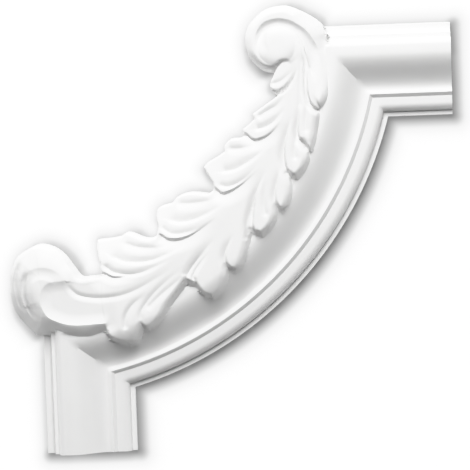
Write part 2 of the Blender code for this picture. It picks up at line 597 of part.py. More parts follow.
def curl_grooves(step):
    """Coves and ribs of the volute and the scroll: line, depth, and the widths of the two sides."""
    spiral = smooth_line([volute_point(*turn) for turn in VOLUTE_SPIRAL], step)
    grooves = [(spiral, SPIRAL_DEPTH, SPIRAL_INNER, SPIRAL_OUTER)]
    fold_line = smooth_line([volute_point(*turn) for turn in VOLUTE_FOLD], step)
    grooves += [(fold_line, FOLD_DEPTH, FOLD_INNER, FOLD_OUTER)]
    grooves += [(scroll_line(SCROLL_RING, step), RING_DEPTH, RING_INNER, RING_OUTER)]
    return grooves + [(scroll_line(rib, step), RIB_DEPTH, RIB_INNER, RIB_OUTER) for rib in SCROLL_RIBS]


def all_grooves():
    """Every groove: line, depth, widths of its left and right sides, run along it and profile across."""
    grooves = []
    for corners, depth, left, right in OUTER_GROOVES + INNER_GROOVES:
        line = leaf_groove(corners, TRACE_STEP)
        grooves.append((line, depth * GROOVE_DEPTH, left * GROOVE_WIDTH, right * GROOVE_WIDTH, fading, fold))
    for line, depth, left, right in curl_grooves(TRACE_STEP):
        grooves.append((line, depth, left, right, ending, cove))
    return grooves


def fading(along):
    """Deepest a little way in from the margin, and fading towards the axis."""
    return eased(FADE_START + along / FADE_IN) * (1 - eased((along - FADE_FROM) / (1 - FADE_FROM)))


def ending(along):
    """Full depth, with soft ends."""
    return eased(along / SOFT_START) * (1 - eased((along - SOFT_END) / (1 - SOFT_END)))


def fold(off):
    """Profile of a fold: a crease that fades on both sides."""
    return np.clip(1 - off, 0, 1) ** 2


def cove(off):
    """Profile of a cove: round at the bottom, with crisp edges."""
    return np.cos(np.clip(off, 0, 1) * math.pi / 2)


def groove_cut(x, z, groove):
    line, depth, left, right, run_out, profile = groove
    reach = max(left, right) + GROOVE_ROUNDING
    near = (x > line[:, 0].min() - reach) & (x < line[:, 0].max() + reach)
    near &= (z > line[:, 1].min() - reach) & (z < line[:, 1].max() + reach)
    cut = np.zeros(len(x))
    if near.any():
        gap, side, along, _ = Trace(line).nearest(x[near], z[near])
        soft = np.hypot(gap, GROOVE_ROUNDING) - GROOVE_ROUNDING
        cut[near] = depth * profile(soft / np.where(side > 0, left, right)) * run_out(along)
    return cut


def blended(a, b, radius):
    """The higher of two heights, with a small fillet where they cross."""
    k = np.clip(0.5 + 0.5 * (a - b) / radius, 0, 1)
    return b + (a - b) * k + radius * k * (1 - k)


BLADE, VOLUTE, SCROLL = blade(), volute(), scroll()
ALL_GROOVES = all_grooves()


def leaf_height(x, z):
    height = BLADE.height(x, z)
    for form in (VOLUTE, SCROLL):
        height = blended(height, form.height(x, z), LOBE_EDGE)
    for groove in ALL_GROOVES:
        height = height - groove_cut(x, z, groove)
    return height


def front_height(x, z):
    return np.maximum(moulding_height(x, z), leaf_height(x, z))


# Mesh over the plan

def band_line(inward):
    """One line of the moulding, at a distance from the lip, from the upper end to the lower one."""
    radius, level = LIP_RADIUS - inward, inward - STUB_OFFSET
    corner = math.asin(-level / radius)
    count = max(2, round((math.pi / 2 - 2 * corner) * radius / ARC_STEP))
    turns = np.linspace(corner, math.pi / 2 - corner, count + 1)
    arc = np.column_stack([radius * np.cos(turns), -radius * np.sin(turns)])
    stub = np.linspace(STUB_END, arc[0, 0], round((STUB_END - arc[0, 0]) / STUB_STEP), endpoint=False)
    upper = np.column_stack([stub, np.full(len(stub), level)])
    return np.vstack([upper, arc, -upper[::-1, ::-1]])


def mitres(lines):
    """The lines along which the straight stubs meet the arc."""
    found = [[], []]
    for inward, line in lines:
        corner = inward - STUB_OFFSET
        found[0].append((math.sqrt((LIP_RADIUS - inward) ** 2 - corner ** 2), corner))
        found[1].append((-corner, -found[0][-1][0]))
    return np.array(found)


def by_the_leaf(x, z):
    """Whether a point may be on the leaf: round the volute or the scroll, or beside the leaf's axis."""
    reach = np.abs(LIP_RADIUS - LEAF_AXIS - np.hypot(x, z)) / LEAF_HALF_WIDTH
    to_volute = np.hypot(x - VOLUTE_X, z - VOLUTE_Z) / VOLUTE_RADIUS
    to_scroll = np.hypot(x - SCROLL_X, z - SCROLL_Z) / SCROLL_RADIUS
    return (reach < NEAR_LEAF) | (to_volute < NEAR_CURL) | (to_scroll < NEAR_CURL)


def filled(line, step):
    """A closed line with points added where two are further apart than the step."""
    parts = []
    for a, b in zip(line, np.roll(line, -1, axis=0)):
        count = max(1, round(np.linalg.norm(b - a) / step))
        parts.append(a + (b - a) * (np.arange(count) / count)[:, None])
    return np.vstack(parts)


def foot_line(form):
    """The outline of a form, where its walls meet the thin edge on the wall, or its margin on the moulding.
    Also loose points: where its walls meet the moulding, and in layers beside the margin."""
    margin = closed_margin(form.runs, MARGIN_STEP)
    normal = outward(margin)
    near, far = np.zeros(len(margin)), np.full(len(margin), WIDEST_WALL)
    for _ in range(HALVINGS):
        middle = (near + far) / 2
        x, z = (margin + normal * middle[:, None]).T
        above = form.height(x, z) > moulding_height(x, z)
        near, far = np.where(above, middle, near), np.where(above, far, middle)
    foot = margin + normal * near[:, None]
    gap, *_ = form.trace.nearest(*foot.T)
    clear = gap > CLEAR_FOOT * near
    loose = [foot[clear]] + [margin + normal * layer for layer in LAYERS]
    outline = np.where(lip_distance(*margin.T)[:, None] < BAND_WIDTH, margin, foot)[clear]
    return filled(outline, MARGIN_STEP), loose


class Plan:
    """Points and lines to be joined by triangles."""

    def __init__(self):
        self.points, self.edges = np.empty((0, 2)), []

    def line(self, points, closed=False, keep=None):
        """Adds a line, or the stretches of it with points to keep, and gives its points' numbers."""
        numbers = np.arange(len(points)) + len(self.points)
        self.points = np.vstack([self.points, points])
        keep = np.ones(len(points), bool) if keep is None else keep
        for i in range(0 if closed else 1, len(points)):
            if keep[i - 1] or keep[i]:
                self.edges.append((int(numbers[i - 1]), int(numbers[i])))
        return numbers.tolist()

    def scatter(self, points, clearance):
        """Adds loose points that are clear of what is there."""
        tree = KDTree(len(self.points))
        for i, (x, z) in enumerate(self.points):
            tree.insert((x, z, 0), i)
        tree.balance()
        far = [tree.find((x, z, 0))[2] > clearance for x, z in points]
        self.points = np.vstack([self.points, points[far]])


def lattice(low, high, step):
    """Points in a triangular pattern over a rectangle."""
    rows = np.arange(low[1], high[1], step * math.sqrt(3) / 2)
    across = np.arange(low[0], high[0], step)
    return np.vstack([np.column_stack([across + i % 2 * step / 2, np.full(len(across), row)])
                      for i, row in enumerate(rows)])


def buried(x, z):
    """Whether the moulding is well under the leaf."""
    return leaf_height(x, z) > moulding_height(x, z) + LEAF_THICKNESS / 2


def build_plan():
    plan = Plan()
    lines = [(inward, band_line(inward)) for inward, _ in section(SECTION_STEPS)]
    ends = [np.array([line[turn] for _, line in lines]) for turn in (0, -1)]
    outline = [lines[0][1], ends[1][1:], lines[-1][1][-2::-1], ends[0][-2:0:-1]]
    outlines, feet = [plan.line(np.vstack(outline), closed=True)], []
    for line in [line for _, line in lines[1:-1]] + list(mitres(lines)):
        plan.line(line, keep=~buried(*line.T))
    for form in (BLADE, VOLUTE, SCROLL):
        plan.line(closed_margin(form.runs, MARGIN_STEP), closed=True)
        outline, loose = foot_line(form)
        outlines.append(plan.line(outline, closed=True))
        feet += loose
    for corners, *_ in OUTER_GROOVES + INNER_GROOVES:
        plan.line(leaf_groove(corners, GROOVE_STEP))
    for line, *_ in curl_grooves(GROOVE_STEP):
        plan.line(line)
    plan.line(scroll_line(SCROLL_LIP, GROOVE_STEP))
    for loose in feet:
        plan.scatter(loose, LOOSE_CLEARANCE * LATTICE_STEP)
    inner = lattice(plan.points.min(axis=0), plan.points.max(axis=0), LATTICE_STEP)
    inner = inner[by_the_leaf(*inner.T)]
    raised = leaf_height(*inner.T) > moulding_height(*inner.T)
    plan.scatter(inner[raised], LATTICE_CLEARANCE * LATTICE_STEP)
    return plan, outlines


def triangulated(points, edges, faces, kind):
    points = [Vector(point) for point in points]
    verts, _, triangles, *_ = delaunay_2d_cdt(points, edges, faces, kind, WELD)
    return np.array([tuple(vert) for vert in verts]), triangles


def open_edges(triangles):
    """Edges with a triangle on one side only, as they run round the triangles."""
    sides = {(a, b) for tri in triangles for a, b in zip(tri, tri[1:] + tri[:1])}
    return [(a, b) for a, b in sides if (b, a) not in sides]


def build_mesh():
    plan, outlines = build_plan()
    spots, front = triangulated(plan.points, plan.edges, outlines, INSIDE)
    front = [list(tri) for tri in front]
    height = front_height(*spots.T)
    rim = open_edges(front)
    numbers = sorted({vert for edge in rim for vert in edge})
    below = {vert: i for i, vert in enumerate(numbers)}
    height[numbers] = np.maximum(height[numbers], EDGE_HEIGHT)
    _, back = triangulated(spots[numbers], [(below[a], below[b]) for a, b in rim], [], INSIDE_WITH_HOLES)

    spots = spots - ORIGIN
    verts = [(x, -y, z) for (x, z), y in zip(spots, height)] + [(x, 0.0, z) for x, z in spots[numbers]]
    first = len(height)
    walls = [(b, a, first + below[a], first + below[b]) for a, b in rim]
    back = [tuple(first + i for i in reversed(tri)) for tri in back]
    mesh = bpy.data.meshes.new("corner_piece")
    mesh.from_pydata(verts, [], [tuple(tri) for tri in front] + walls + back)
    return mesh


def plaster():
    material = bpy.data.materials.new("white_plaster")
    material.use_nodes = True
    shader = material.node_tree.nodes["Principled BSDF"]
    shader.inputs["Base Color"].default_value = PLASTER_WHITE
    shader.inputs["Roughness"].default_value = PLASTER_ROUGHNESS
    shader.inputs["Metallic"].default_value = 0.0
    material.diffuse_color = PLASTER_WHITE
    return material


def build_corner_piece():
    mesh = build_mesh()
    bm = bmesh.new()
    bm.from_mesh(mesh)
    bmesh.ops.recalc_face_normals(bm, faces=bm.faces)
    bmesh.ops.triangulate(bm, faces=bm.faces)
    bm.to_mesh(mesh)
    bm.free()
    mesh.shade_smooth()
    mesh.set_sharp_from_angle(angle=SHARP_ANGLE)
    mesh.materials.append(plaster())
    piece = bpy.data.objects.new("corner_piece", mesh)
    bpy.context.scene.collection.objects.link(piece)
    return piece


for thing in list(bpy.data.objects):
    bpy.data.objects.remove(thing, do_unlink=True)
build_corner_piece()
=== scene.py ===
"""Looks of the moulding corner piece: its fine white casting, the pale wall behind it and soft light.

Metres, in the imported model's frame: the wall is the plane y = 0, and the piece faces -Y. The front is
worked out from the same sizes as the solid, with a finer mesh. The plan is drawn about the arc's centre.
"""

import math

import bpy
import bmesh
import numpy as np
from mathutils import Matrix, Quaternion, Vector
from mathutils.geometry import delaunay_2d_cdt
from mathutils.kdtree import KDTree


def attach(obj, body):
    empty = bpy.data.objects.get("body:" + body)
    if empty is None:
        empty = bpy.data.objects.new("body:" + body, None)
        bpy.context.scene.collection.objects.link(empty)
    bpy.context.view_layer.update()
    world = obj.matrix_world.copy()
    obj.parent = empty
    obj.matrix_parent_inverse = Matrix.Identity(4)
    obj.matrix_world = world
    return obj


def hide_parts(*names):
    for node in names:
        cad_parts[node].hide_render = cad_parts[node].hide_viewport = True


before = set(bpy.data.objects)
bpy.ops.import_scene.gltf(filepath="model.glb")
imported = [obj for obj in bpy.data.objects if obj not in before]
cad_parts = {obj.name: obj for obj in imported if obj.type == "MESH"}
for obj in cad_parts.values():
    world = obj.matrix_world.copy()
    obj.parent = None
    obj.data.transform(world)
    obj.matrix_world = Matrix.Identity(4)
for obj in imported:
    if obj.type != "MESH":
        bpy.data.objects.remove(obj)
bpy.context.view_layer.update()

# Run of the moulding on plan
LIP_RADIUS = 0.330          # arc of the lip, the low inner edge
BAND_WIDTH = 0.080          # from the lip to the outer edge
STUB_OFFSET = 0.088         # straight lips from the arc's centre
STUB_END = 0.374            # square ends from the arc's centre

# Section of the moulding: distances from the lip, and heights above the wall
LIP_WIDTH = 0.0042
LIP_HEIGHT = 0.0038
BEAD_TOP_AT = 0.0108
BEAD_HEIGHT = 0.0112
STEP_AT = 0.0166
STEP_RUN = 0.0030
COVE_EDGE_HEIGHT = 0.0136
COVE_LOW_AT = 0.0240
COVE_LOW_HEIGHT = 0.0120
COVE_LEAN = 0.95            # below 1, curves in an S are steepest near their start
CREST_AT = 0.0555
CREST_END = 0.0610
CREST_HEIGHT = 0.0275
FILLET_AT = 0.0672
FILLET_HEIGHT = 0.0180
FILLET_END = 0.0708
LAND_AT = 0.0745
LAND_HEIGHT = 0.0088
EDGE_RUN = 0.0012
EDGE_HEIGHT = 0.0020        # thinnest edge against the wall

# Leaf blade
LEAF_AXIS = 0.086           # its axis, from the lip
LEAF_HALF_WIDTH = 0.048     # from the axis to the longest lobes
LEAF_HEIGHT = 0.0350        # along the axis
OUTER_TIP_HEIGHT = 0.0200   # at the tips of the outer lobes
LEAF_THICKNESS = 0.0080     # where the inner lobes lie on the moulding
LOBE_EDGE = 0.0016          # rounding of the margin
SOFT_EDGE = 4.0             # times as wide on the upper sides of the inner lobes
OUTER_SLOPE = 45.0          # fall of the outer walls
SIDE_SLOPE = 3.2            # fall beside the inner lobes
TIP_SLOPE = 1.10            # fall under the tips of the inner lobes
TIPS_POINT = (0.25, -0.97)
EYE_EDGE = 0.25             # share of the eye's radius in which the volute's top sinks round it
GROOVE_DEPTH = 0.0025
GROOVE_WIDTH = 0.0055
GROOVE_ROUNDING = 0.0005
FADE_START = 0.3            # of the blade's grooves along their length, as shares of it
FADE_IN = 0.12
FADE_FROM = 0.25
SOFT_START = 0.25           # soft ends of the other grooves
SOFT_END = 0.8
ROOT_SINK = 0.0018          # of a curl's root, into the blade
ROOT_RUN = 0.0140

# Volute at the upper end, from the arc's centre
VOLUTE_X = 0.2264
VOLUTE_Z = -0.0214
VOLUTE_RADIUS = 0.0300
VOLUTE_HEIGHT = 0.0356
VOLUTE_EDGE = 0.0065        # rounding of the rim
VOLUTE_UNDER_DROP = 0.0080  # more drop below
VOLUTE_SIDE = 0.0140        # broad flank on the right
VOLUTE_SIDE_DROP = 0.0085
VOLUTE_LEAN = 0.0066        # sinking of the top from the eye to the right
VOLUTE_LEAN_RUN = 0.0260
EYE_X = 0.2243
EYE_Z = -0.0244
EYE_RADIUS = 0.0165
EYE_RISE = 0.0026
VOLUTE_TAIL = 0.045         # length in which the tail sinks to the blade
TONGUE_START = 1.4          # how soon along the tail the edge becomes a lobe's
VOLUTE_UNDER_RUN = 0.06     # run of the wall for its fall, more under the volute
SPIRAL_DEPTH = 0.0030
SPIRAL_OUTER = 0.0050
SPIRAL_INNER = 0.0044
FOLD_DEPTH = 0.0018         # of the fold that runs from it down the tongue
FOLD_OUTER = 0.0014
FOLD_INNER = 0.0022

# Scroll at the lower end, from the arc's centre
SCROLL_X = 0.0186
SCROLL_Z = -0.2285
SCROLL_RADIUS = 0.0320
SCROLL_HEIGHT = 0.0358
SCROLL_DISH = 0.0022        # hollow of its face
SCROLL_DISH_RUN = 0.0100
STEM_RUN = 0.0080           # in which the roll comes out of the stem
ROLL_LOW = 1.3              # fullness of the roll's section at the bottom, and at the top
ROLL_HIGH = 2.6
RING_DEPTH = 0.0010
RING_OUTER = 0.0050
RING_INNER = 0.0046
RIB_DEPTH = 0.0020
RIB_OUTER = 0.0026
RIB_INNER = 0.0022

# Fineness of the mesh
SECTION_STEPS = 8
FINE_SECTION_STEPS = 12
ARC_STEP = 0.004
STUB_STEP = 0.004
MARGIN_STEP = 0.0009
GROOVE_STEP = 0.0010
LATTICE_STEP = 0.0009
LAYERS = (-0.0006, 0.0005, 0.0010, 0.0015, 0.0021, 0.0028)
TRACE_STEP = 0.0015         # of the lines that heights are measured from
NEAR_LEAF = 1.4             # half widths from the leaf's axis, and radii from a curl, that may be on them
NEAR_CURL = 2.0
LOOSE_CLEARANCE = 0.35      # of loose points from others, in steps of the lattice
LATTICE_CLEARANCE = 0.6
HALVINGS = 16               # in the search for the foot of a wall
CLEAR_FOOT = 0.85           # least share of a foot's own wall that it is from the whole margin
WIDEST_WALL = 0.04
BATCH = 4000
WELD = 0.00002
SHARP_ANGLE = math.radians(35)
INSIDE, INSIDE_WITH_HOLES = 1, 2    # parts of a triangulation to keep

# Finish
CASTING_COLOUR = (0.87, 0.87, 0.865, 1.0)
CASTING_SHADE = (0.83, 0.83, 0.825, 1.0)
CASTING_SPECULAR = 0.45
ROUGHNESS_LOW = 0.42
ROUGHNESS_HIGH = 0.58
MOTTLE_SCALE = 38.0
GLOSS_SCALE = 160.0
GRAIN_SCALE = 900.0
GRAIN_STRENGTH = 0.12
GRAIN_HEIGHT = 0.0002
WHITE = (1.0, 1.0, 1.0, 1.0)

# Wall and light
WALL_HALF = 3.0
WALL_GAP = 0.001            # behind the piece's back
WALL_COLOUR = (0.10, 0.10, 0.10, 1.0)
WALL_ROUGHNESS = 0.9
WALL_SPECULAR = 0.1
# The wall is white by its own glow; a painted shadow lowers that glow round the piece.
WALL_GLOW = 1.38
SHADE_HALF = 0.26           # part of the wall with the soft painted shadow round the piece
SHADE_STEP = 0.0020
SHADE_DEPTH = 0.72
SHADE_RUN = 0.0106
SHADE_TOWARDS = (0.7, -0.7) # where it is deepest and widest, below the piece and on its right
SHADE_DEPTH_LEAN = 0.22
SHADE_RUN_LEAN = 0.0028
SHADE_FADE = 1.8
SHADE_SMOOTHING = (0, 1, 0, 1)      # along the rows and across them, twice
SKY_FROM = -0.25
SKY_TO = 0.65
SKY_LOW = 0.02
SKY_HIGH = 0.76
KEY_SPOT = (-0.05, -1.36, 1.22)
KEY_WIDTH = 1.1
KEY_POWER = 35.2
TONE_WHITE = 1.45           # brightness that shows as white, and points of the curve towards it
TONE = ((0.78, 0.785), (0.95, 0.90), (1.18, 0.955))
WHOLE_CURVE = 3             # of the tone curves, the one for all colours together
BACK_SPOT = (1.0, 2.0, 1.2)
BACK_WIDTH = 1.5
BACK_POWER = 12.0

# Camera, fitted to the photo's view
PICTURE_PIXELS = 470
SENSOR = 36.0
FOCAL_PIXELS = 2515.6
CAMERA_SPOT = (0.1301, -2.2, 0.1261)
YAW = math.radians(-4.02)
PITCH = math.radians(-2.81)
ROLL = math.radians(-2.07)

# Margin of the blade, lobe by lobe, in runs between sharp corners. Each point is a share of the arc,
# from the upper mitre to the lower one, and a reach from the leaf's axis in half widths.
OUTER_LOBES = [
    [(-0.119, 0.21), (-0.071, 0.34), (-0.041, 0.37)],
    [(-0.041, 0.37), (-0.024, 0.40), (-0.003, 0.38)],
    [(-0.003, 0.38), (0.010, 0.31), (0.019, 0.21)],
    [(0.019, 0.21), (0.034, 0.27), (0.068, 0.40), (0.112, 0.55)],
    [(0.112, 0.55), (0.130, 0.49)],
    [(0.130, 0.49), (0.152, 0.54), (0.181, 0.61)],
    [(0.181, 0.61), (0.194, 0.57), (0.203, 0.54)],
    [(0.203, 0.54), (0.221, 0.61), (0.240, 0.74), (0.275, 0.78)],
    [(0.275, 0.78), (0.294, 0.72)],
    [(0.294, 0.72), (0.328, 0.79), (0.367, 0.87), (0.396, 0.88)],
    [(0.396, 0.88), (0.408, 0.74), (0.419, 0.58)],
    [(0.419, 0.58), (0.429, 0.52), (0.443, 0.48)],
    [(0.443, 0.48), (0.469, 0.52), (0.491, 0.66), (0.521, 0.80), (0.561, 0.88), (0.583, 0.87)],
    [(0.583, 0.87), (0.601, 0.87), (0.643, 0.95), (0.664, 0.94)],
    [(0.664, 0.94), (0.685, 0.83), (0.697, 0.68)],
    [(0.697, 0.68), (0.710, 0.62), (0.725, 0.56)],
    [(0.725, 0.56), (0.752, 0.57), (0.780, 0.66), (0.806, 0.81), (0.830, 0.89), (0.853, 0.87)],
    [(0.853, 0.87), (0.895, 0.91), (0.954, 0.98)],
    [(0.954, 0.98), (0.966, 0.82), (0.970, 0.65), (0.970, 0.54)],
    [(0.970, 0.54), (0.976, 0.49), (0.977, 0.38)],
    [(0.977, 0.38), (1.000, 0.10), (1.012, -0.20), (1.018, -0.49)],
]
INNER_LOBES = [
    [(1.018, -0.49), (1.014, -0.71), (0.990, -0.86), (0.968, -0.94)],
    [(0.968, -0.94), (0.948, -0.95), (0.928, -0.84), (0.911, -0.71)],
    [(0.911, -0.71), (0.898, -0.80), (0.880, -0.79), (0.850, -0.72), (0.805, -0.56), (0.718, -0.36)],
    [(0.718, -0.36), (0.712, -0.45), (0.699, -0.53)],
    [(0.699, -0.53), (0.698, -0.75), (0.684, -0.88)],
    [(0.684, -0.88), (0.654, -0.89), (0.622, -0.79), (0.594, -0.63)],
    [(0.594, -0.63), (0.583, -0.75), (0.559, -0.77), (0.528, -0.68), (0.494, -0.57), (0.462, -0.48)],
    [(0.462, -0.48), (0.452, -0.56), (0.446, -0.66)],
    [(0.446, -0.66), (0.418, -0.69), (0.391, -0.68), (0.370, -0.64), (0.353, -0.59)],
    [(0.353, -0.59), (0.352, -0.69), (0.330, -0.71), (0.301, -0.67), (0.271, -0.58), (0.249, -0.47)],
    [(0.249, -0.47), (0.243, -0.52), (0.240, -0.60)],
    [(0.240, -0.60), (0.212, -0.65), (0.179, -0.65), (0.154, -0.58), (0.138, -0.46)],
    [(0.138, -0.46), (0.143, -0.54), (0.147, -0.63)],
    [(0.147, -0.63), (0.115, -0.62), (0.075, -0.58), (0.037, -0.55), (-0.011, -0.48), (-0.059, -0.35),
     (-0.120, -0.17)],
    [(-0.120, -0.17), (-0.166, -0.12), (-0.175, 0.05), (-0.119, 0.21)],
]

# Grooves of the blade, from the margin inwards. Each has its line, in shares and reaches, its depth, and
# the widths of the sides to its left and right.
OUTER_GROOVES = [
    ([(-0.016, 0.40), (-0.030, 0.24), (-0.065, 0.09), (-0.110, -0.02)], 0.4, 0.8, 0.8),
    ([(0.018, 0.34), (0.012, 0.20), (-0.010, 0.09), (-0.045, 0.01), (-0.100, -0.04)], 2.0, 0.9, 0.3),
    ([(0.119, 0.45), (0.085, 0.32), (0.052, 0.18), (-0.002, 0.05)], 0.7, 1.0, 1.0),
    ([(0.163, 0.40), (0.140, 0.25), (0.106, 0.13), (0.042, 0.01)], 0.9, 1.6, 0.5),
    ([(0.193, 0.56), (0.202, 0.34), (0.166, 0.14), (0.095, -0.01)], 1.4, 0.4, 1.8),
    ([(0.279, 0.70), (0.253, 0.50), (0.215, 0.29), (0.170, 0.13)], 0.8, 1.2, 1.2),
    ([(0.368, 0.57), (0.325, 0.38), (0.260, 0.21), (0.186, 0.06)], 1.0, 1.8, 0.5),
    ([(0.414, 0.47), (0.391, 0.29), (0.336, 0.15), (0.251, 0.05)], 0.7, 1.2, 0.5),
    ([(0.432, 0.50), (0.430, 0.30), (0.370, 0.14), (0.270, 0.00)], 1.5, 0.4, 2.0),
    ([(0.581, 0.80), (0.540, 0.63), (0.484, 0.43), (0.420, 0.27)], 0.9, 1.2, 1.4),
    ([(0.648, 0.67), (0.610, 0.48), (0.536, 0.31), (0.435, 0.16)], 1.1, 2.0, 0.5),
    ([(0.691, 0.66), (0.668, 0.43), (0.604, 0.24), (0.513, 0.12)], 0.7, 1.2, 0.5),
    ([(0.714, 0.57), (0.689, 0.35), (0.622, 0.19), (0.494, 0.09)], 1.5, 0.4, 2.0),
    ([(0.854, 0.75), (0.806, 0.55), (0.740, 0.37), (0.659, 0.25)], 0.9, 1.2, 1.4),
    ([(0.922, 0.64), (0.868, 0.41), (0.771, 0.22), (0.613, 0.10)], 1.1, 2.0, 0.5),
    ([(0.962, 0.53), (0.925, 0.31), (0.842, 0.13), (0.707, 0.07)], 0.9, 1.2, 0.5),
    ([(0.974, 0.39), (0.942, 0.25), (0.897, 0.18), (0.842, 0.13)], 1.1, 0.4, 1.2),
    ([(1.111, 0.35), (1.077, 0.12), (0.988, -0.05), (0.884, -0.11), (0.705, -0.08)], 0.6, 0.8, 0.8),
]
INNER_GROOVES = [
    ([(0.964, -0.71), (0.946, -0.48), (0.908, -0.32), (0.842, -0.26)], 0.7, 0.8, 1.2),
    ([(0.877, -0.51), (0.830, -0.41), (0.768, -0.34), (0.684, -0.29)], 0.5, 1.0, 1.0),
    ([(0.911, -0.71), (0.890, -0.48), (0.820, -0.28), (0.680, -0.16)], 0.5, 0.8, 0.8),
    ([(0.718, -0.36), (0.690, -0.28), (0.640, -0.20), (0.560, -0.12)], 0.9, 1.4, 0.6),
    ([(0.700, -0.52), (0.697, -0.42), (0.665, -0.32), (0.600, -0.22)], 1.2, 1.2, 0.6),
    ([(0.580, -0.80), (0.590, -0.71), (0.590, -0.60), (0.576, -0.48), (0.551, -0.39), (0.503, -0.30)],
     1.2, 1.2, 0.35),
    ([(0.495, -0.57), (0.467, -0.42), (0.427, -0.29), (0.362, -0.20)], 0.7, 1.0, 1.0),
    ([(0.463, -0.58), (0.452, -0.47), (0.427, -0.36), (0.401, -0.27), (0.355, -0.16), (0.269, -0.08)],
     1.6, 1.4, 0.35),
    ([(0.399, -0.56), (0.375, -0.41), (0.335, -0.26), (0.286, -0.18)], 0.5, 0.8, 0.8),
    ([(0.339, -0.75), (0.353, -0.69), (0.350, -0.59), (0.333, -0.48), (0.292, -0.37), (0.231, -0.28)],
     1.2, 1.2, 0.35),
    ([(0.254, -0.53), (0.238, -0.40), (0.218, -0.30), (0.189, -0.22), (0.150, -0.16), (0.060, -0.12)],
     1.6, 1.4, 0.35),
    ([(0.202, -0.49), (0.174, -0.40), (0.128, -0.32), (0.065, -0.22)], 0.6, 0.8, 0.8),
    ([(0.151, -0.63), (0.143, -0.51), (0.135, -0.39), (0.114, -0.31), (0.064, -0.24), (0.008, -0.19)],
     1.4, 1.2, 0.35),
    ([(0.110, -0.48), (0.072, -0.39), (0.025, -0.33), (-0.016, -0.26)], 0.5, 0.8, 0.8),
    ([(0.031, -0.61), (0.029, -0.49), (0.015, -0.37), (-0.016, -0.27), (-0.061, -0.21), (-0.120, -0.16)],
     2.0, 0.9, 0.35),
    ([(0.040, -0.24), (-0.044, -0.12), (-0.118, -0.07), (-0.185, 0.07)], 0.5, 0.6, 0.6),
]

# Curls of the volute and the scroll: turns in degrees and shares of the radius. The scroll's rim also has
# its height as a share of the scroll's.
VOLUTE_CURL = [
    (-74, 0.64), (-88, 0.75), (255, 0.81), (236, 0.87), (216, 0.90), (197, 0.94), (172, 0.97), (157, 0.99),
    (143, 1.00), (119, 1.02), (102, 1.04), (83, 1.07), (69, 1.09), (46, 1.14), (29, 1.27), (19, 1.35),
]
VOLUTE_TONGUE = [
    (-0.195, -0.50), (-0.143, -0.53), (-0.081, -0.58), (-0.027, -0.65), (0.005, -0.64), (0.026, -0.58),
]
VOLUTE_INSIDE = [(0.018, -0.45), (-0.002, -0.33), (-0.039, -0.25), (-0.087, -0.20)]
VOLUTE_SPIRAL = [
    (-41, 1.38), (-30, 1.15), (-16, 0.98), (-2, 0.83), (19, 0.69),
    (38, 0.59), (59, 0.54), (79, 0.52), (98, 0.52), (118, 0.53), (136, 0.54), (159, 0.52), (184, 0.50),
    (206, 0.49), (224, 0.50),
]
VOLUTE_FOLD = [(-62, 1.62), (-51, 1.19), (-33, 0.89), (-12, 0.68), (14, 0.55), (46, 0.49)]
SCROLL_LIP = [
    (30, 0.48), (58, 0.27), (88, 0.20), (136, 0.16), (178, 0.19), (214, 0.27), (237, 0.41), (254, 0.57),
    (265, 0.70), (277, 0.81), (296, 1.04), (309, 1.25), (320, 1.49), (328, 1.78),
]
STEM_BACK = [(0.90, -0.50), (0.80, -0.30), (0.80, 0.20), (0.97, 0.25), (1.05, 0.30)]
SCROLL_RIM = [
    (12, 1.52, 0.93), (14, 1.22, 0.93), (19, 0.88, 0.90), (42, 0.82, 0.85), (66, 0.95, 0.82),
    (86, 1.12, 0.79), (106, 1.25, 0.74), (130, 1.26, 0.68), (144, 1.22, 0.66), (159, 1.15, 0.62),
    (170, 1.11, 0.57), (185, 1.12, 0.49), (200, 1.15, 0.38), (213, 1.20, 0.27), (229, 1.24, 0.19),
    (242, 1.32, 0.18), (253, 1.37, 0.34), (276, 1.28, 0.70), (298, 1.48, 0.76), (311, 1.72, 0.77),
    (319, 1.91, 0.77),
]
SCROLL_ROOT = [(0.965, -0.63), (0.88, -0.35), (0.85, -0.16), (0.89, 0.10)]
SCROLL_RING = [
    (27, 0.41), (52, 0.38), (77, 0.41), (100, 0.46), (121, 0.53), (136, 0.58), (152, 0.61), (172, 0.59),
    (195, 0.61), (217, 0.68), (235, 0.77),
]
SCROLL_RIBS = [
    [(128, 1.12), (143, 1.03), (161, 0.95), (179, 0.90), (-159, 0.91), (-137, 0.95)],
    [(132, 0.82), (154, 0.73), (177, 0.70), (-163, 0.71), (-143, 0.76), (-126, 0.84), (-112, 0.94)],
]

MITRE = math.asin(STUB_OFFSET / LIP_RADIUS)
SPAN = math.pi / 2 - 2 * MITRE
ORIGIN = np.array([1.0, -1.0]) * (LIP_RADIUS - BAND_WIDTH / 2) / math.sqrt(2)


# Section of the moulding

def curve(start, end, shape, steps):
    """Points after the start of a curve: an ellipse quarter that climbs or runs first, or an S."""
    points = []
    for i in range(1, steps + 1):
        turn = i / steps * math.pi / 2
        run, rise = math.sin(turn), 1 - math.cos(turn)
        if shape == "climbs first":
            run, rise = rise, run
        if shape == "S":
            run, rise = i / steps, (1 - math.cos(math.pi * (i / steps) ** COVE_LEAN)) / 2
        points.append((start[0] + (end[0] - start[0]) * run, start[1] + (end[1] - start[1]) * rise))
    return points


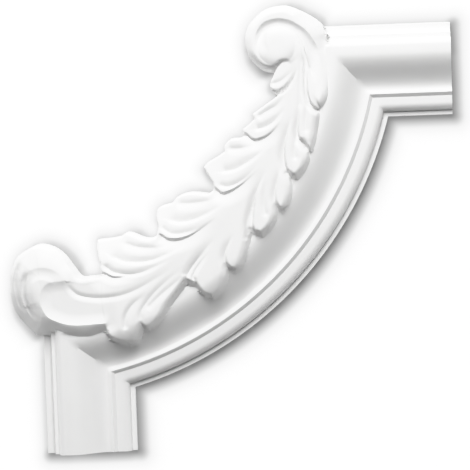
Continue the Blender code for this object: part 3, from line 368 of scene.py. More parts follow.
def section(steps):
    lip = (LIP_WIDTH, LIP_HEIGHT)
    cove_edge = (STEP_AT + STEP_RUN, COVE_EDGE_HEIGHT)
    cove_low = (COVE_LOW_AT, COVE_LOW_HEIGHT)
    crest_end = (CREST_END, CREST_HEIGHT)
    fillet_end = (FILLET_END, FILLET_HEIGHT)
    points = [(0.0, LIP_HEIGHT), lip]
    points += curve(lip, (BEAD_TOP_AT, BEAD_HEIGHT), "climbs first", steps)
    points += [(STEP_AT, BEAD_HEIGHT), cove_edge]
    points += curve(cove_edge, cove_low, "S", steps - 1)
    points += curve(cove_low, (CREST_AT, CREST_HEIGHT), "S", 2 * steps)
    points += [crest_end]
    points += curve(crest_end, (FILLET_AT, FILLET_HEIGHT), "runs first", steps)
    points += [fillet_end]
    points += curve(fillet_end, (LAND_AT, LAND_HEIGHT), "climbs first", steps - 1)
    points += [(BAND_WIDTH - EDGE_RUN, LAND_HEIGHT), (BAND_WIDTH, EDGE_HEIGHT)]
    return np.array(points)


FINE_SECTION = section(FINE_SECTION_STEPS)


def lip_distance(x, z):
    """Distance in from the lip. Where two runs meet, the larger one gives the mitre."""
    return np.maximum.reduce([z + STUB_OFFSET, STUB_OFFSET - x, LIP_RADIUS - np.hypot(x, z)])


def moulding_height(x, z):
    inward = lip_distance(x, z)
    height = np.interp(inward, FINE_SECTION[:, 0], FINE_SECTION[:, 1])
    return np.where(inward > BAND_WIDTH, EDGE_HEIGHT, height)


# Lines on plan

def leaf_point(share, reach):
    angle = MITRE + share * SPAN
    radius = LIP_RADIUS - LEAF_AXIS - reach * LEAF_HALF_WIDTH
    return (radius * math.cos(angle), -radius * math.sin(angle))


def polar(x, z, radius, degrees):
    angle = math.radians(degrees)
    return (x + radius * math.cos(angle), z + radius * math.sin(angle))


def smooth_line(corners, step):
    """A curve through the corners, with a point about every step."""
    p = np.array(corners, float)
    ends = np.vstack([2 * p[0] - p[1], p, 2 * p[-1] - p[-2]])
    line = [p[:1]]
    for a, b, c, d in zip(ends, ends[1:], ends[2:], ends[3:]):
        count = max(1, round(np.linalg.norm(c - b) / step))
        t = (np.arange(1, count + 1) / count)[:, None]
        cubic = 2 * b + (c - a) * t + (2 * a - 5 * b + 4 * c - d) * t ** 2
        line.append((cubic + (3 * b - a - 3 * c + d) * t ** 3) / 2)
    return np.vstack(line)


def closed_margin(runs, step):
    return np.vstack([smooth_line(run, step)[:-1] for run in runs])


def outward(margin):
    """Unit normals of a closed margin, away from its inside."""
    before, after = np.roll(margin, 1, axis=0), np.roll(margin, -1, axis=0)
    ahead = after - before
    normal = np.column_stack([ahead[:, 1], -ahead[:, 0]]) / np.linalg.norm(ahead, axis=1)[:, None]
    area = np.sum(margin[:, 0] * after[:, 1] - after[:, 0] * margin[:, 1])
    return normal * np.sign(area)


class Trace:
    """A line that distances are measured from, with a value carried along it."""

    def __init__(self, points, values=None, closed=False):
        values = np.zeros(len(points)) if values is None else np.asarray(values)
        if closed:
            points, values = np.vstack([points, points[:1]]), np.append(values, values[0])
        self.start, self.step, self.values = points[:-1], np.diff(points, axis=0), values
        self.square = (self.step ** 2).sum(axis=1)

    def batches(self, x, z):
        """Some points at a time: the way to each from all pieces of the line, and each piece's share."""
        for first in range(0, len(x), BATCH):
            part = slice(first, first + BATCH)
            dx = x[part, None] - self.start[:, 0]
            dz = z[part, None] - self.start[:, 1]
            t = np.clip((dx * self.step[:, 0] + dz * self.step[:, 1]) / self.square, 0, 1)
            yield part, dx - t * self.step[:, 0], dz - t * self.step[:, 1], t

    def nearest(self, x, z):
        """Distance, side (+1 to the left of the line), share of the line, and value."""
        gap, side, along, value = np.zeros((4, len(x)))
        for part, away_x, away_z, t in self.batches(x, z):
            square = away_x ** 2 + away_z ** 2
            row, k = np.arange(len(square)), square.argmin(axis=1)
            gap[part], t = np.sqrt(square[row, k]), t[row, k]
            side[part] = np.sign(self.step[k, 0] * away_z[row, k] - self.step[k, 1] * away_x[row, k])
            along[part] = (k + t) / len(self.start)
            value[part] = self.values[k] * (1 - t) + self.values[k + 1] * t
        return gap, side, along, value

    def inside(self, x, z):
        """Whether each point is inside a closed line, by counting crossings."""
        found = np.zeros(len(x), bool)
        low, high = self.start[:, 1], self.start[:, 1] + self.step[:, 1]
        rise = np.where(self.step[:, 1] == 0, 1.0, self.step[:, 1])
        for first in range(0, len(x), BATCH):
            px, pz = x[first:first + BATCH, None], z[first:first + BATCH, None]
            crosses = (low > pz) != (high > pz)
            at = self.start[:, 0] + (pz - low) / rise * self.step[:, 0]
            found[first:first + BATCH] = (crosses & (px < at)).sum(axis=1) % 2 == 1
        return found


def softened(sizes):
    """Sizes round a closed margin, each averaged with its neighbours."""
    return sum(np.roll(sizes, shift) for shift in range(-2, 3)) / 5


def eased(t):
    """From 0 to 1 in an S, as t does."""
    t = np.clip(t, 0, 1)
    return t * t * (3 - 2 * t)


class Form:
    """A raised form: a top with a rounded edge inside its margin, and walls that fall away outside.

    Each piece of the margin has its own rounding and fall, and the lowest edge and highest wall count.
    Walls follow the moulding down, so that they end on it at about one distance all along.
    """

    def __init__(self, runs, top, edge, fall, root=None):
        self.runs, self.top, self.fall = runs, top, fall
        self.root = Trace(np.array(root)) if root else None
        margin = closed_margin(runs, TRACE_STEP)
        edges = edge(*margin.T, outward(margin).T)
        self.width, self.drop, self.flare = (softened(sizes) for sizes in edges)
        self.base = moulding_height(*margin.T)
        self.trace = Trace(margin, self.sunken_top(*margin.T) - self.drop, closed=True)

    def sunken_top(self, x, z):
        """The top, which sinks a little into the blade at the root of a curl."""
        if not self.root:
            return self.top(x, z)
        sunk = 1 - eased(self.root.nearest(x, z)[0] / ROOT_RUN)
        off_eye = np.hypot(x - EYE_X, z - EYE_Z) / EYE_RADIUS - 1
        return self.top(x, z) - ROOT_SINK * sunk * eased(off_eye / EYE_EDGE)

    def height(self, x, z):
        inside = self.trace.inside(x, z)
        height = np.zeros(len(x))
        for part, away_x, away_z, t in self.trace.batches(x[inside], z[inside]):
            near = np.clip(1 - np.hypot(away_x, away_z) / self.width, 0, 1)
            edge = near ** 2 + (eased(near) - near ** 2) * self.flare
            numbers = np.flatnonzero(inside)[part]
            height[numbers] = self.sunken_top(x[numbers], z[numbers]) - (self.drop * edge).max(axis=1)
        for part, away_x, away_z, t in self.trace.batches(x[~inside], z[~inside]):
            level = self.trace.values[:-1] * (1 - t) + self.trace.values[1:] * t
            numbers = np.flatnonzero(~inside)[part]
            lower = np.minimum(moulding_height(x[numbers], z[numbers])[:, None] - self.base, 0)
            walls = level + lower - self.fall(self.trace.start, away_x, away_z)
            height[numbers] = walls.max(axis=1)
        return height


# Leaf blade

def blade_top(x, z):
    """The inner half lies on the moulding, and the outer half sinks towards its tips."""
    inward = LIP_RADIUS - np.hypot(x, z)
    draped = np.interp(inward, FINE_SECTION[:, 0], FINE_SECTION[:, 1]) + LEAF_THICKNESS
    out = np.clip((inward - LEAF_AXIS) / LEAF_HALF_WIDTH, 0, None)
    free = LEAF_HEIGHT - (LEAF_HEIGHT - OUTER_TIP_HEIGHT) * out ** 2
    across = eased((inward - CREST_AT) / (LEAF_AXIS - CREST_AT))
    crest = CREST_HEIGHT + LEAF_THICKNESS
    return np.where(inward < CREST_AT, draped, crest * (1 - across) + free * across)


def blade_edge(x, z, out):
    """Width and drop of the edge: crisp, but soft on the upper sides of the inner lobes. No flare."""
    inner = LIP_RADIUS - np.hypot(x, z) < LEAF_AXIS
    upper = np.where(inner, np.clip(TIPS_POINT[0] * out[1] - TIPS_POINT[1] * out[0], 0, 1) ** 2, 0)
    return LOBE_EDGE * (1 + (SOFT_EDGE - 1) * upper), LOBE_EDGE * (1 + upper), np.zeros(len(x))


def inner_fall(away_x, away_z):
    """Walls on the moulding are steep at the sides, and gentler under tips, which point down."""
    gap = np.maximum(np.hypot(away_x, away_z), WELD)
    down = np.clip(TIPS_POINT[0] * away_x + TIPS_POINT[1] * away_z, 0, None)
    return SIDE_SLOPE * gap + (TIP_SLOPE - SIDE_SLOPE) * down ** 2 / gap


def blade_fall(start, away_x, away_z):
    inner = LIP_RADIUS - np.hypot(*start.T) < LEAF_AXIS
    return np.where(inner, inner_fall(away_x, away_z), OUTER_SLOPE * np.hypot(away_x, away_z))


def blade():
    runs = [[leaf_point(*corner) for corner in run] for run in OUTER_LOBES + INNER_LOBES]
    root = [leaf_point(*corner) for corner in OUTER_LOBES[-1]]
    return Form(runs, blade_top, blade_edge, blade_fall, root)


# Volute, with the tongue that comes down beside the blade

def volute_point(degrees, share):
    return polar(VOLUTE_X, VOLUTE_Z, VOLUTE_RADIUS * share, degrees)


def tail_share(x, z):
    return np.clip((EYE_Z - EYE_RADIUS / 2 - z) / VOLUTE_TAIL, 0, 1)


def volute_top(x, z):
    down = tail_share(x, z)
    from_eye = np.hypot(x - EYE_X, z - EYE_Z) / EYE_RADIUS
    eye = EYE_RISE * np.clip(1 - from_eye ** 4, 0, 1)
    high = VOLUTE_HEIGHT - VOLUTE_LEAN * eased((x - EYE_X - EYE_RADIUS) / VOLUTE_LEAN_RUN)
    return high * (1 - down) + (CREST_HEIGHT + LEAF_THICKNESS) * down + eye


def volute_edge(x, z, out):
    """Round at the curl and deeper below, level with the moulding on the right, and crisp at the tip."""
    tip = eased(TONGUE_START * tail_share(x, z))
    tip = np.where((x > EYE_X + EYE_RADIUS / 2) & (z < EYE_Z) & (out[0] < 0), 1, tip)
    size = VOLUTE_EDGE * (1 - tip) + LOBE_EDGE * tip
    drop = size + VOLUTE_UNDER_DROP * np.clip(-out[1], 0, 1) ** 2 * (1 - tip)
    side = np.maximum(np.clip(out[0], 0, 1) ** 2, eased((x - EYE_X - EYE_RADIUS) / VOLUTE_SIDE))
    ground = np.where(z > VOLUTE_Z, CREST_HEIGHT, moulding_height(x, z))
    level = np.clip(volute_top(x, z) - ground, LOBE_EDGE, VOLUTE_SIDE_DROP)
    width = size + (VOLUTE_SIDE * (1 - tip / 2) - size) * side
    return width, drop + (level - drop) * side, side * (1 - tip)


def volute_fall(start, away_x, away_z):
    """Steep round the curl, less so under it. The tongue falls as the lobes do."""
    gap = np.maximum(np.hypot(away_x, away_z), WELD)
    run = 1 / OUTER_SLOPE + VOLUTE_UNDER_RUN * np.clip(-away_z / gap, 0, 1) ** 2
    inward = LIP_RADIUS - np.hypot(*start.T)
    on_moulding = (inward < CREST_AT + LAND_AT - CREST_END) & (start[:, 1] < VOLUTE_Z)
    return np.where(on_moulding, inner_fall(away_x, away_z), gap / run)


def volute():
    curl = [volute_point(*turn) for turn in VOLUTE_CURL]
    right = curl[-1:] + [leaf_point(*corner) for corner in VOLUTE_TONGUE]
    left = right[-1:] + [leaf_point(*corner) for corner in VOLUTE_INSIDE]
    root = [left[-1], curl[0]]
    return Form([curl, right, left, root], volute_top, volute_edge, volute_fall, root)


# Stem and scroll at the lower end

def scroll_point(degrees, share):
    return polar(SCROLL_X, SCROLL_Z, SCROLL_RADIUS * share, degrees)


def scroll_line(turns, step):
    return smooth_line([scroll_point(*turn) for turn in turns], step)


def scroll_face():
    """The lip of the flat face, and the outline of the face."""
    lip = scroll_line(SCROLL_LIP, TRACE_STEP)
    back = [leaf_point(*corner) for corner in STEM_BACK]
    return Trace(lip), Trace(np.vstack([lip, back]), closed=True)


LIP, FACE = scroll_face()
RIM = Trace(scroll_line([turn[:2] for turn in SCROLL_RIM], TRACE_STEP))
RIM.values = np.interp(np.linspace(0, 1, len(RIM.start) + 1), np.linspace(0, 1, len(SCROLL_RIM)),
                       [turn[2] * SCROLL_HEIGHT for turn in SCROLL_RIM])


def scroll_upper(z):
    """From 0 in the lower half of the scroll to 1 in its upper half."""
    return np.clip(0.5 + (z - SCROLL_Z) / SCROLL_RADIUS, 0, 1)


def scroll_top(x, z):
    """The face is dished from its lip. From there the roll falls to the rim, sooner on the lower side."""
    from_lip = LIP.nearest(x, z)[0]
    dished = SCROLL_DISH * (1 - np.clip(1 - from_lip / SCROLL_DISH_RUN, 0, 1) ** 2)
    to_rim, _, _, low = RIM.nearest(x, z)
    share = from_lip / np.maximum(from_lip + to_rim, WELD)
    fallen = (SCROLL_HEIGHT - low) * share ** (ROLL_LOW + (ROLL_HIGH - ROLL_LOW) * scroll_upper(z))
    stem = eased((x - LIP.start[0, 0]) / STEM_RUN) * scroll_upper(z)
    return SCROLL_HEIGHT - np.where(FACE.inside(x, z), dished, fallen * (1 - stem) + dished * stem)


def scroll_edge(x, z, out):
    return LOBE_EDGE * (1 + scroll_upper(z)), LOBE_EDGE * scroll_upper(z), np.zeros(len(x))


def scroll_fall(start, away_x, away_z):
    return OUTER_SLOPE * np.hypot(away_x, away_z)


def scroll():
    rim = [scroll_point(*turn[:2]) for turn in SCROLL_RIM]
    root = [rim[-1]] + [leaf_point(*corner) for corner in SCROLL_ROOT] + [rim[0]]
    return Form([rim, root], scroll_top, scroll_edge, scroll_fall, root)


# Grooves

def leaf_groove(corners, step):
    return smooth_line([leaf_point(*corner) for corner in corners], step)


def curl_grooves(step):
    """Coves and ribs of the volute and the scroll: line, depth, and the widths of the two sides."""
    spiral = smooth_line([volute_point(*turn) for turn in VOLUTE_SPIRAL], step)
    grooves = [(spiral, SPIRAL_DEPTH, SPIRAL_INNER, SPIRAL_OUTER)]
    fold_line = smooth_line([volute_point(*turn) for turn in VOLUTE_FOLD], step)
    grooves += [(fold_line, FOLD_DEPTH, FOLD_INNER, FOLD_OUTER)]
    grooves += [(scroll_line(SCROLL_RING, step), RING_DEPTH, RING_INNER, RING_OUTER)]
    return grooves + [(scroll_line(rib, step), RIB_DEPTH, RIB_INNER, RIB_OUTER) for rib in SCROLL_RIBS]


def all_grooves():
    """Every groove: line, depth, widths of its left and right sides, run along it and profile across."""
    grooves = []
    for corners, depth, left, right in OUTER_GROOVES + INNER_GROOVES:
        line = leaf_groove(corners, TRACE_STEP)
        left, right = left * GROOVE_WIDTH, right * GROOVE_WIDTH
        grooves.append((line, depth * GROOVE_DEPTH, left, right, fading, fold))
    for line, depth, left, right in curl_grooves(TRACE_STEP):
        grooves.append((line, depth, left, right, ending, cove))
    return grooves


def fading(along):
    """Deepest a little way in from the margin, and fading towards the axis."""
    return eased(FADE_START + along / FADE_IN) * (1 - eased((along - FADE_FROM) / (1 - FADE_FROM)))


def ending(along):
    """Full depth, with soft ends."""
    return eased(along / SOFT_START) * (1 - eased((along - SOFT_END) / (1 - SOFT_END)))


def fold(off):
    """Profile of a fold: a crease that fades on both sides."""
    return np.clip(1 - off, 0, 1) ** 2


def cove(off):
    """Profile of a cove: round at the bottom, with crisp edges."""
    return np.cos(np.clip(off, 0, 1) * math.pi / 2)


def groove_cut(x, z, groove):
    line, depth, left, right, run_out, profile = groove
    reach = max(left, right) + GROOVE_ROUNDING
    near = (x > line[:, 0].min() - reach) & (x < line[:, 0].max() + reach)
    near &= (z > line[:, 1].min() - reach) & (z < line[:, 1].max() + reach)
    cut = np.zeros(len(x))
    if near.any():
        gap, side, along, _ = Trace(line).nearest(x[near], z[near])
        soft = np.hypot(gap, GROOVE_ROUNDING) - GROOVE_ROUNDING
        cut[near] = depth * profile(soft / np.where(side > 0, left, right)) * run_out(along)
    return cut


def blended(a, b, radius):
    """The higher of two heights, with a small fillet where they cross."""
    k = np.clip(0.5 + 0.5 * (a - b) / radius, 0, 1)
    return b + (a - b) * k + radius * k * (1 - k)


BLADE, VOLUTE, SCROLL = blade(), volute(), scroll()
ALL_GROOVES = all_grooves()


def leaf_height(x, z):
    height = BLADE.height(x, z)
    for form in (VOLUTE, SCROLL):
        height = blended(height, form.height(x, z), LOBE_EDGE)
    for groove in ALL_GROOVES:
        height = height - groove_cut(x, z, groove)
    return height


def front_height(x, z):
    return np.maximum(moulding_height(x, z), leaf_height(x, z))


# Mesh over the plan

def band_line(inward):
    """One line of the moulding, at a distance from the lip, from the upper end to the lower one."""
    radius, level = LIP_RADIUS - inward, inward - STUB_OFFSET
    corner = math.asin(-level / radius)
    count = max(2, round((math.pi / 2 - 2 * corner) * radius / ARC_STEP))
    turns = np.linspace(corner, math.pi / 2 - corner, count + 1)
    arc = np.column_stack([radius * np.cos(turns), -radius * np.sin(turns)])
    stub = np.linspace(STUB_END, arc[0, 0], round((STUB_END - arc[0, 0]) / STUB_STEP), endpoint=False)
    upper = np.column_stack([stub, np.full(len(stub), level)])
    return np.vstack([upper, arc, -upper[::-1, ::-1]])


def mitres(lines):
    """The lines along which the straight stubs meet the arc."""
    found = [[], []]
    for inward, line in lines:
        corner = inward - STUB_OFFSET
        found[0].append((math.sqrt((LIP_RADIUS - inward) ** 2 - corner ** 2), corner))
        found[1].append((-corner, -found[0][-1][0]))
    return np.array(found)


def by_the_leaf(x, z):
    """Whether a point may be on the leaf: round the volute or the scroll, or beside the leaf's axis."""
    reach = np.abs(LIP_RADIUS - LEAF_AXIS - np.hypot(x, z)) / LEAF_HALF_WIDTH
    to_volute = np.hypot(x - VOLUTE_X, z - VOLUTE_Z) / VOLUTE_RADIUS
    to_scroll = np.hypot(x - SCROLL_X, z - SCROLL_Z) / SCROLL_RADIUS
    return (reach < NEAR_LEAF) | (to_volute < NEAR_CURL) | (to_scroll < NEAR_CURL)


def filled(line, step):
    """A closed line with points added where two are further apart than the step."""
    parts = []
    for a, b in zip(line, np.roll(line, -1, axis=0)):
        count = max(1, round(np.linalg.norm(b - a) / step))
        parts.append(a + (b - a) * (np.arange(count) / count)[:, None])
    return np.vstack(parts)


def foot_line(form):
    """The outline of a form, where its walls meet the thin edge on the wall, or its margin on the moulding.
    Also loose points: where its walls meet the moulding, and in layers beside the margin."""
    margin = closed_margin(form.runs, MARGIN_STEP)
    normal = outward(margin)
    near, far = np.zeros(len(margin)), np.full(len(margin), WIDEST_WALL)
    for _ in range(HALVINGS):
        middle = (near + far) / 2
        x, z = (margin + normal * middle[:, None]).T
        above = form.height(x, z) > moulding_height(x, z)
        near, far = np.where(above, middle, near), np.where(above, far, middle)
    foot = margin + normal * near[:, None]
    gap, *_ = form.trace.nearest(*foot.T)
    clear = gap > CLEAR_FOOT * near
    loose = [foot[clear]] + [margin + normal * layer for layer in LAYERS]
    outline = np.where(lip_distance(*margin.T)[:, None] < BAND_WIDTH, margin, foot)[clear]
    return filled(outline, MARGIN_STEP), loose


class Plan:
    """Points and lines to be joined by triangles."""

    def __init__(self):
        self.points, self.edges = np.empty((0, 2)), []

    def line(self, points, closed=False, keep=None):
        """Adds a line, or the stretches of it with points to keep, and gives its points' numbers."""
        numbers = np.arange(len(points)) + len(self.points)
        self.points = np.vstack([self.points, points])
        keep = np.ones(len(points), bool) if keep is None else keep
        for i in range(0 if closed else 1, len(points)):
            if keep[i - 1] or keep[i]:
                self.edges.append((int(numbers[i - 1]), int(numbers[i])))
        return numbers.tolist()

    def scatter(self, points, clearance):
        """Adds loose points that are clear of what is there."""
        tree = KDTree(len(self.points))
        for i, (x, z) in enumerate(self.points):
            tree.insert((x, z, 0), i)
        tree.balance()
        far = [tree.find((x, z, 0))[2] > clearance for x, z in points]
        self.points = np.vstack([self.points, points[far]])


def lattice(low, high, step):
    """Points in a triangular pattern over a rectangle."""
    rows = np.arange(low[1], high[1], step * math.sqrt(3) / 2)
    across = np.arange(low[0], high[0], step)
    return np.vstack([np.column_stack([across + i % 2 * step / 2, np.full(len(across), row)])
                      for i, row in enumerate(rows)])


def buried(x, z):
    """Whether the moulding is well under the leaf."""
    return leaf_height(x, z) > moulding_height(x, z) + LEAF_THICKNESS / 2


def build_plan():
    plan = Plan()
    lines = [(inward, band_line(inward)) for inward, _ in section(SECTION_STEPS)]
    ends = [np.array([line[turn] for _, line in lines]) for turn in (0, -1)]
    outline = [lines[0][1], ends[1][1:], lines[-1][1][-2::-1], ends[0][-2:0:-1]]
    outlines, feet = [plan.line(np.vstack(outline), closed=True)], []
    for line in [line for _, line in lines[1:-1]] + list(mitres(lines)):
        plan.line(line, keep=~buried(*line.T))
    for form in (BLADE, VOLUTE, SCROLL):
        plan.line(closed_margin(form.runs, MARGIN_STEP), closed=True)
        outline, loose = foot_line(form)
        outlines.append(plan.line(outline, closed=True))
        feet += loose
    for corners, *_ in OUTER_GROOVES + INNER_GROOVES:
        plan.line(leaf_groove(corners, GROOVE_STEP))
    for line, *_ in curl_grooves(GROOVE_STEP):
        plan.line(line)
    plan.line(scroll_line(SCROLL_LIP, GROOVE_STEP))
    for loose in feet:
        plan.scatter(loose, LOOSE_CLEARANCE * LATTICE_STEP)
    inner = lattice(plan.points.min(axis=0), plan.points.max(axis=0), LATTICE_STEP)
    inner = inner[by_the_leaf(*inner.T)]
    raised = leaf_height(*inner.T) > moulding_height(*inner.T)
    plan.scatter(inner[raised], LATTICE_CLEARANCE * LATTICE_STEP)
    return plan, outlines


def triangulated(points, edges, faces, kind):
    points = [Vector(point) for point in points]
    verts, _, triangles, *_ = delaunay_2d_cdt(points, edges, faces, kind, WELD)
    return np.array([tuple(vert) for vert in verts]), triangles


def open_edges(triangles):
    """Edges with a triangle on one side only, as they run round the triangles."""
    sides = {(a, b) for tri in triangles for a, b in zip(tri, tri[1:] + tri[:1])}
    return [(a, b) for a, b in sides if (b, a) not in sides]


def build_mesh():
    plan, outlines = build_plan()
    spots, front = triangulated(plan.points, plan.edges, outlines, INSIDE)
    front = [list(tri) for tri in front]
    height = front_height(*spots.T)
    rim = open_edges(front)
    numbers = sorted({vert for edge in rim for vert in edge})
    below = {vert: i for i, vert in enumerate(numbers)}
    height[numbers] = np.maximum(height[numbers], EDGE_HEIGHT)
    _, back = triangulated(spots[numbers], [(below[a], below[b]) for a, b in rim], [], INSIDE_WITH_HOLES)

    spots = spots - ORIGIN
    verts = [(x, -y, z) for (x, z), y in zip(spots, height)] + [(x, 0.0, z) for x, z in spots[numbers]]
    first = len(height)
    walls = [(b, a, first + below[a], first + below[b]) for a, b in rim]
    back = [tuple(first + i for i in reversed(tri)) for tri in back]
    mesh = bpy.data.meshes.new("corner_piece")
    mesh.from_pydata(verts, [], [tuple(tri) for tri in front] + walls + back)
    return mesh


def build_piece():
    """The whole casting, without the loose points that lie off its plan."""
    mesh = build_mesh()
    bm = bmesh.new()
    bm.from_mesh(mesh)
    unused = [vert for vert in bm.verts if not vert.link_faces]
    bmesh.ops.delete(bm, geom=unused, context="VERTS")
    bmesh.ops.recalc_face_normals(bm, faces=bm.faces)
    bm.to_mesh(mesh)
    bm.free()
    mesh.shade_smooth()
    mesh.set_sharp_from_angle(angle=SHARP_ANGLE)
    piece = bpy.data.objects.new("acanthus_corner", mesh)
    bpy.context.scene.collection.objects.link(piece)
    return piece


# Looks

def add_node(owner, kind, **values):
    node = owner.node_tree.nodes.new(kind)
    for name, value in values.items():
        if name in node.inputs:
            node.inputs[name].default_value = value
        else:
            setattr(node, name, value)
    return node


def white_casting():
    """A smooth white casting: faint mottling, and a very fine grain in the gloss and the surface."""
    material = bpy.data.materials.new("white_casting")
    material.use_nodes = True
    shader = material.node_tree.nodes["Principled BSDF"]
    shader.inputs["Metallic"].default_value = 0.0
    shader.inputs["Specular IOR Level"].default_value = CASTING_SPECULAR
    link = material.node_tree.links.new

    place = add_node(material, "ShaderNodeTexCoord")
    mottle = add_node(material, "ShaderNodeTexNoise", Scale=MOTTLE_SCALE, Detail=4.0)
    tint = add_node(material, "ShaderNodeMix", data_type="RGBA")
    tint.inputs["A"].default_value = CASTING_COLOUR
    tint.inputs["B"].default_value = CASTING_SHADE
    link(place.outputs["Object"], mottle.inputs["Vector"])
    link(mottle.outputs["Fac"], tint.inputs["Factor"])
    link(tint.outputs["Result"], shader.inputs["Base Color"])

    gloss = add_node(material, "ShaderNodeTexNoise", Scale=GLOSS_SCALE, Detail=3.0)
    rough = add_node(material, "ShaderNodeMapRange")
    rough.inputs["To Min"].default_value = ROUGHNESS_LOW
    rough.inputs["To Max"].default_value = ROUGHNESS_HIGH
    link(place.outputs["Object"], gloss.inputs["Vector"])
    link(gloss.outputs["Fac"], rough.inputs["Value"])
    link(rough.outputs["Result"], shader.inputs["Roughness"])

    grain = add_node(material, "ShaderNodeTexNoise", Scale=GRAIN_SCALE, Detail=5.0)
    bump = add_node(material, "ShaderNodeBump", Strength=GRAIN_STRENGTH, Distance=GRAIN_HEIGHT)
    link(place.outputs["Object"], grain.inputs["Vector"])
    link(grain.outputs["Fac"], bump.inputs["Height"])
    link(bump.outputs["Normal"], shader.inputs["Normal"])
    return material


def foot_edges(mesh):
    """The edge of the back, piece by piece, from the walls' quads, which have one side on it."""
    ends = []
    for polygon in mesh.polygons:
        low = [mesh.vertices[i].co.xz for i in polygon.vertices if mesh.vertices[i].co.y == 0]
        if len(polygon.vertices) == 4 and len(low) == 2:
            ends.append(low)
    return np.array(ends)


def covered(line, ends):
    """Whether each place of a square grid is behind the piece, by counting the edges to its left."""
    (x1, z1), (x2, z2) = ends[:, 0].T, ends[:, 1].T
    rows = []
    for z in line:
        cross = (z1 > z) != (z2 > z)
        at = x1[cross] + (z - z1[cross]) / (z2 - z1)[cross] * (x2 - x1)[cross]
        rows.append(np.searchsorted(np.sort(at), line) % 2 == 1)
    return np.concatenate(rows)


def painted_wall_shade(line, ends):
    """Painted shadow on the wall's glow at each place: darkest beside the piece, most of all below it and
    on its right, fading with distance from its outline. Behind the piece it is even."""
    places = [a + (b - a) * t for a, b in ends
              for t in np.arange(0, 1, MARGIN_STEP / max(np.linalg.norm(b - a), MARGIN_STEP))]
    tree = KDTree(len(places))
    for i, (x, z) in enumerate(places):
        tree.insert((x, z, 0.0), i)
    tree.balance()
    shade = []
    for (x, z), behind in zip(((x, z) for z in line for x in line), covered(line, ends)):
        near, _, gap = tree.find((x, z, 0.0))
        lean = ((x - near.x) * SHADE_TOWARDS[0] + (z - near.y) * SHADE_TOWARDS[1]) / max(gap, WELD)
        lean, gap = (-lean * math.exp(-gap / SHADE_RUN), 0.0) if behind else (lean, gap)
        depth, run = SHADE_DEPTH + SHADE_DEPTH_LEAN * lean, SHADE_RUN + SHADE_RUN_LEAN * lean
        shade.append(1 - depth * math.exp(-(gap / run) ** SHADE_FADE))
    shade = np.reshape(shade, (len(line), len(line)))
    for axis in SHADE_SMOOTHING:
        shade = (np.roll(shade, -1, axis) + 2 * shade + np.roll(shade, 1, axis)) / 4
    return shade.ravel()


def wall(piece):
    """The pale wall that the piece is fixed to. It is clear from behind, where the back shows.
    It is white by its own glow, which is lowered round the piece as a painted shadow.
    """
    fine = np.arange(-SHADE_HALF, SHADE_HALF, SHADE_STEP)
    line = np.concatenate([[-WALL_HALF], fine, [WALL_HALF]])
    spots = [(x, z) for z in line for x in line]
    wide = len(line)
    faces = [(j + i, j + i + 1, j + i + wide + 1, j + i + wide)
             for j in range(0, wide * (wide - 1), wide) for i in range(wide - 1)]
    mesh = bpy.data.meshes.new("wall")
    mesh.from_pydata([(x, WALL_GAP, z) for x, z in spots], [], faces)
    # Painted shadow round the piece, stored on the wall's points.
    shade = painted_wall_shade(line, foot_edges(piece.data))
    mesh.attributes.new("painted_shade_glow", "FLOAT", "POINT").data.foreach_set("value", shade)
    plane = bpy.data.objects.new("wall", mesh)
    bpy.context.scene.collection.objects.link(plane)
    material = bpy.data.materials.new("wall")
    material.use_nodes = True
    shader = material.node_tree.nodes["Principled BSDF"]
    shader.inputs["Base Color"].default_value = WALL_COLOUR
    shader.inputs["Roughness"].default_value = WALL_ROUGHNESS
    shader.inputs["Specular IOR Level"].default_value = WALL_SPECULAR
    shader.inputs["Emission Color"].default_value = WHITE
    # The painted shadow, read from the wall's points, lowers its glow near the piece.
    painted_shade_node = add_node(material, "ShaderNodeAttribute", attribute_name="painted_shade_glow")
    glow = add_node(material, "ShaderNodeMath", operation="MULTIPLY")
    glow.inputs[1].default_value = WALL_GLOW
    side = add_node(material, "ShaderNodeNewGeometry")
    clear = add_node(material, "ShaderNodeBsdfTransparent")
    pick = add_node(material, "ShaderNodeMixShader")
    link = material.node_tree.links.new
    link(painted_shade_node.outputs["Fac"], glow.inputs[0])
    link(glow.outputs["Value"], shader.inputs["Emission Strength"])
    link(side.outputs["Backfacing"], pick.inputs["Fac"])
    link(shader.outputs["BSDF"], pick.inputs[1])
    link(clear.outputs["BSDF"], pick.inputs[2])
    link(pick.outputs["Shader"], material.node_tree.nodes["Material Output"].inputs["Surface"])
    mesh.materials.append(material)


def area_light(name, spot, aim, width, power):
    light = bpy.data.lights.new(name, "AREA")
    light.shape = "DISK"
    light.size = width
    light.energy = power
    lamp = bpy.data.objects.new(name, light)
    bpy.context.scene.collection.objects.link(lamp)
    lamp.location = spot
    lamp.rotation_euler = (Vector(aim) - Vector(spot)).to_track_quat("-Z", "Y").to_euler()


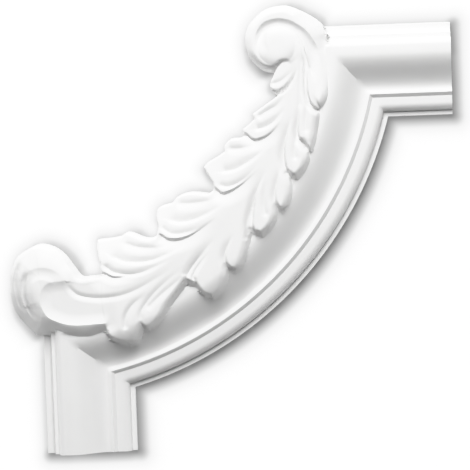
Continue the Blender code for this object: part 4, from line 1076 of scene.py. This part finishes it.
def lights():
    """A broad key light from the front and above, a weaker one behind, and a sky that is dark below."""
    area_light("key", KEY_SPOT, (0.0, 0.0, 0.0), KEY_WIDTH, KEY_POWER)
    area_light("back_fill", BACK_SPOT, (0.0, 0.0, 0.0), BACK_WIDTH, BACK_POWER)
    world = bpy.data.worlds.new("studio")
    world.use_nodes = True
    background = world.node_tree.nodes["Background"]
    background.inputs["Color"].default_value = WHITE
    place = add_node(world, "ShaderNodeTexCoord")
    parts = add_node(world, "ShaderNodeSeparateXYZ")
    sky = add_node(world, "ShaderNodeMapRange", interpolation_type="SMOOTHSTEP")
    sky.inputs["From Min"].default_value = SKY_FROM
    sky.inputs["From Max"].default_value = SKY_TO
    sky.inputs["To Min"].default_value = SKY_LOW
    sky.inputs["To Max"].default_value = SKY_HIGH
    link = world.node_tree.links.new
    link(place.outputs["Generated"], parts.inputs["Vector"])
    link(parts.outputs["Z"], sky.inputs["Value"])
    link(sky.outputs["Result"], background.inputs["Strength"])
    bpy.context.scene.world = world
    view = bpy.context.scene.view_settings
    view.view_transform = "Standard"
    view.use_curve_mapping = True
    tone = view.curve_mapping
    tone.white_level = (TONE_WHITE, TONE_WHITE, TONE_WHITE)
    curve = tone.curves[WHOLE_CURVE]
    for at, value in TONE:
        curve.points.new(at / TONE_WHITE, value)
    tone.update()


def camera():
    """The photo's view: a long lens, a little above and to the right of the middle."""
    data = bpy.data.cameras.new("camera")
    data.sensor_width = SENSOR
    data.lens = FOCAL_PIXELS * SENSOR / PICTURE_PIXELS
    eye = bpy.data.objects.new("camera", data)
    bpy.context.scene.collection.objects.link(eye)
    ahead = Vector((math.sin(YAW) * math.cos(PITCH), math.cos(YAW) * math.cos(PITCH), math.sin(PITCH)))
    eye.location = CAMERA_SPOT
    eye.rotation_mode = "QUATERNION"
    eye.rotation_quaternion = ahead.to_track_quat("-Z", "Y") @ Quaternion((0, 0, 1), ROLL)
    bpy.context.scene.camera = eye


piece = build_piece()
piece.data.materials.append(white_casting())
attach(piece, "root")
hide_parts("corner_piece")
wall(piece)
lights()
camera()
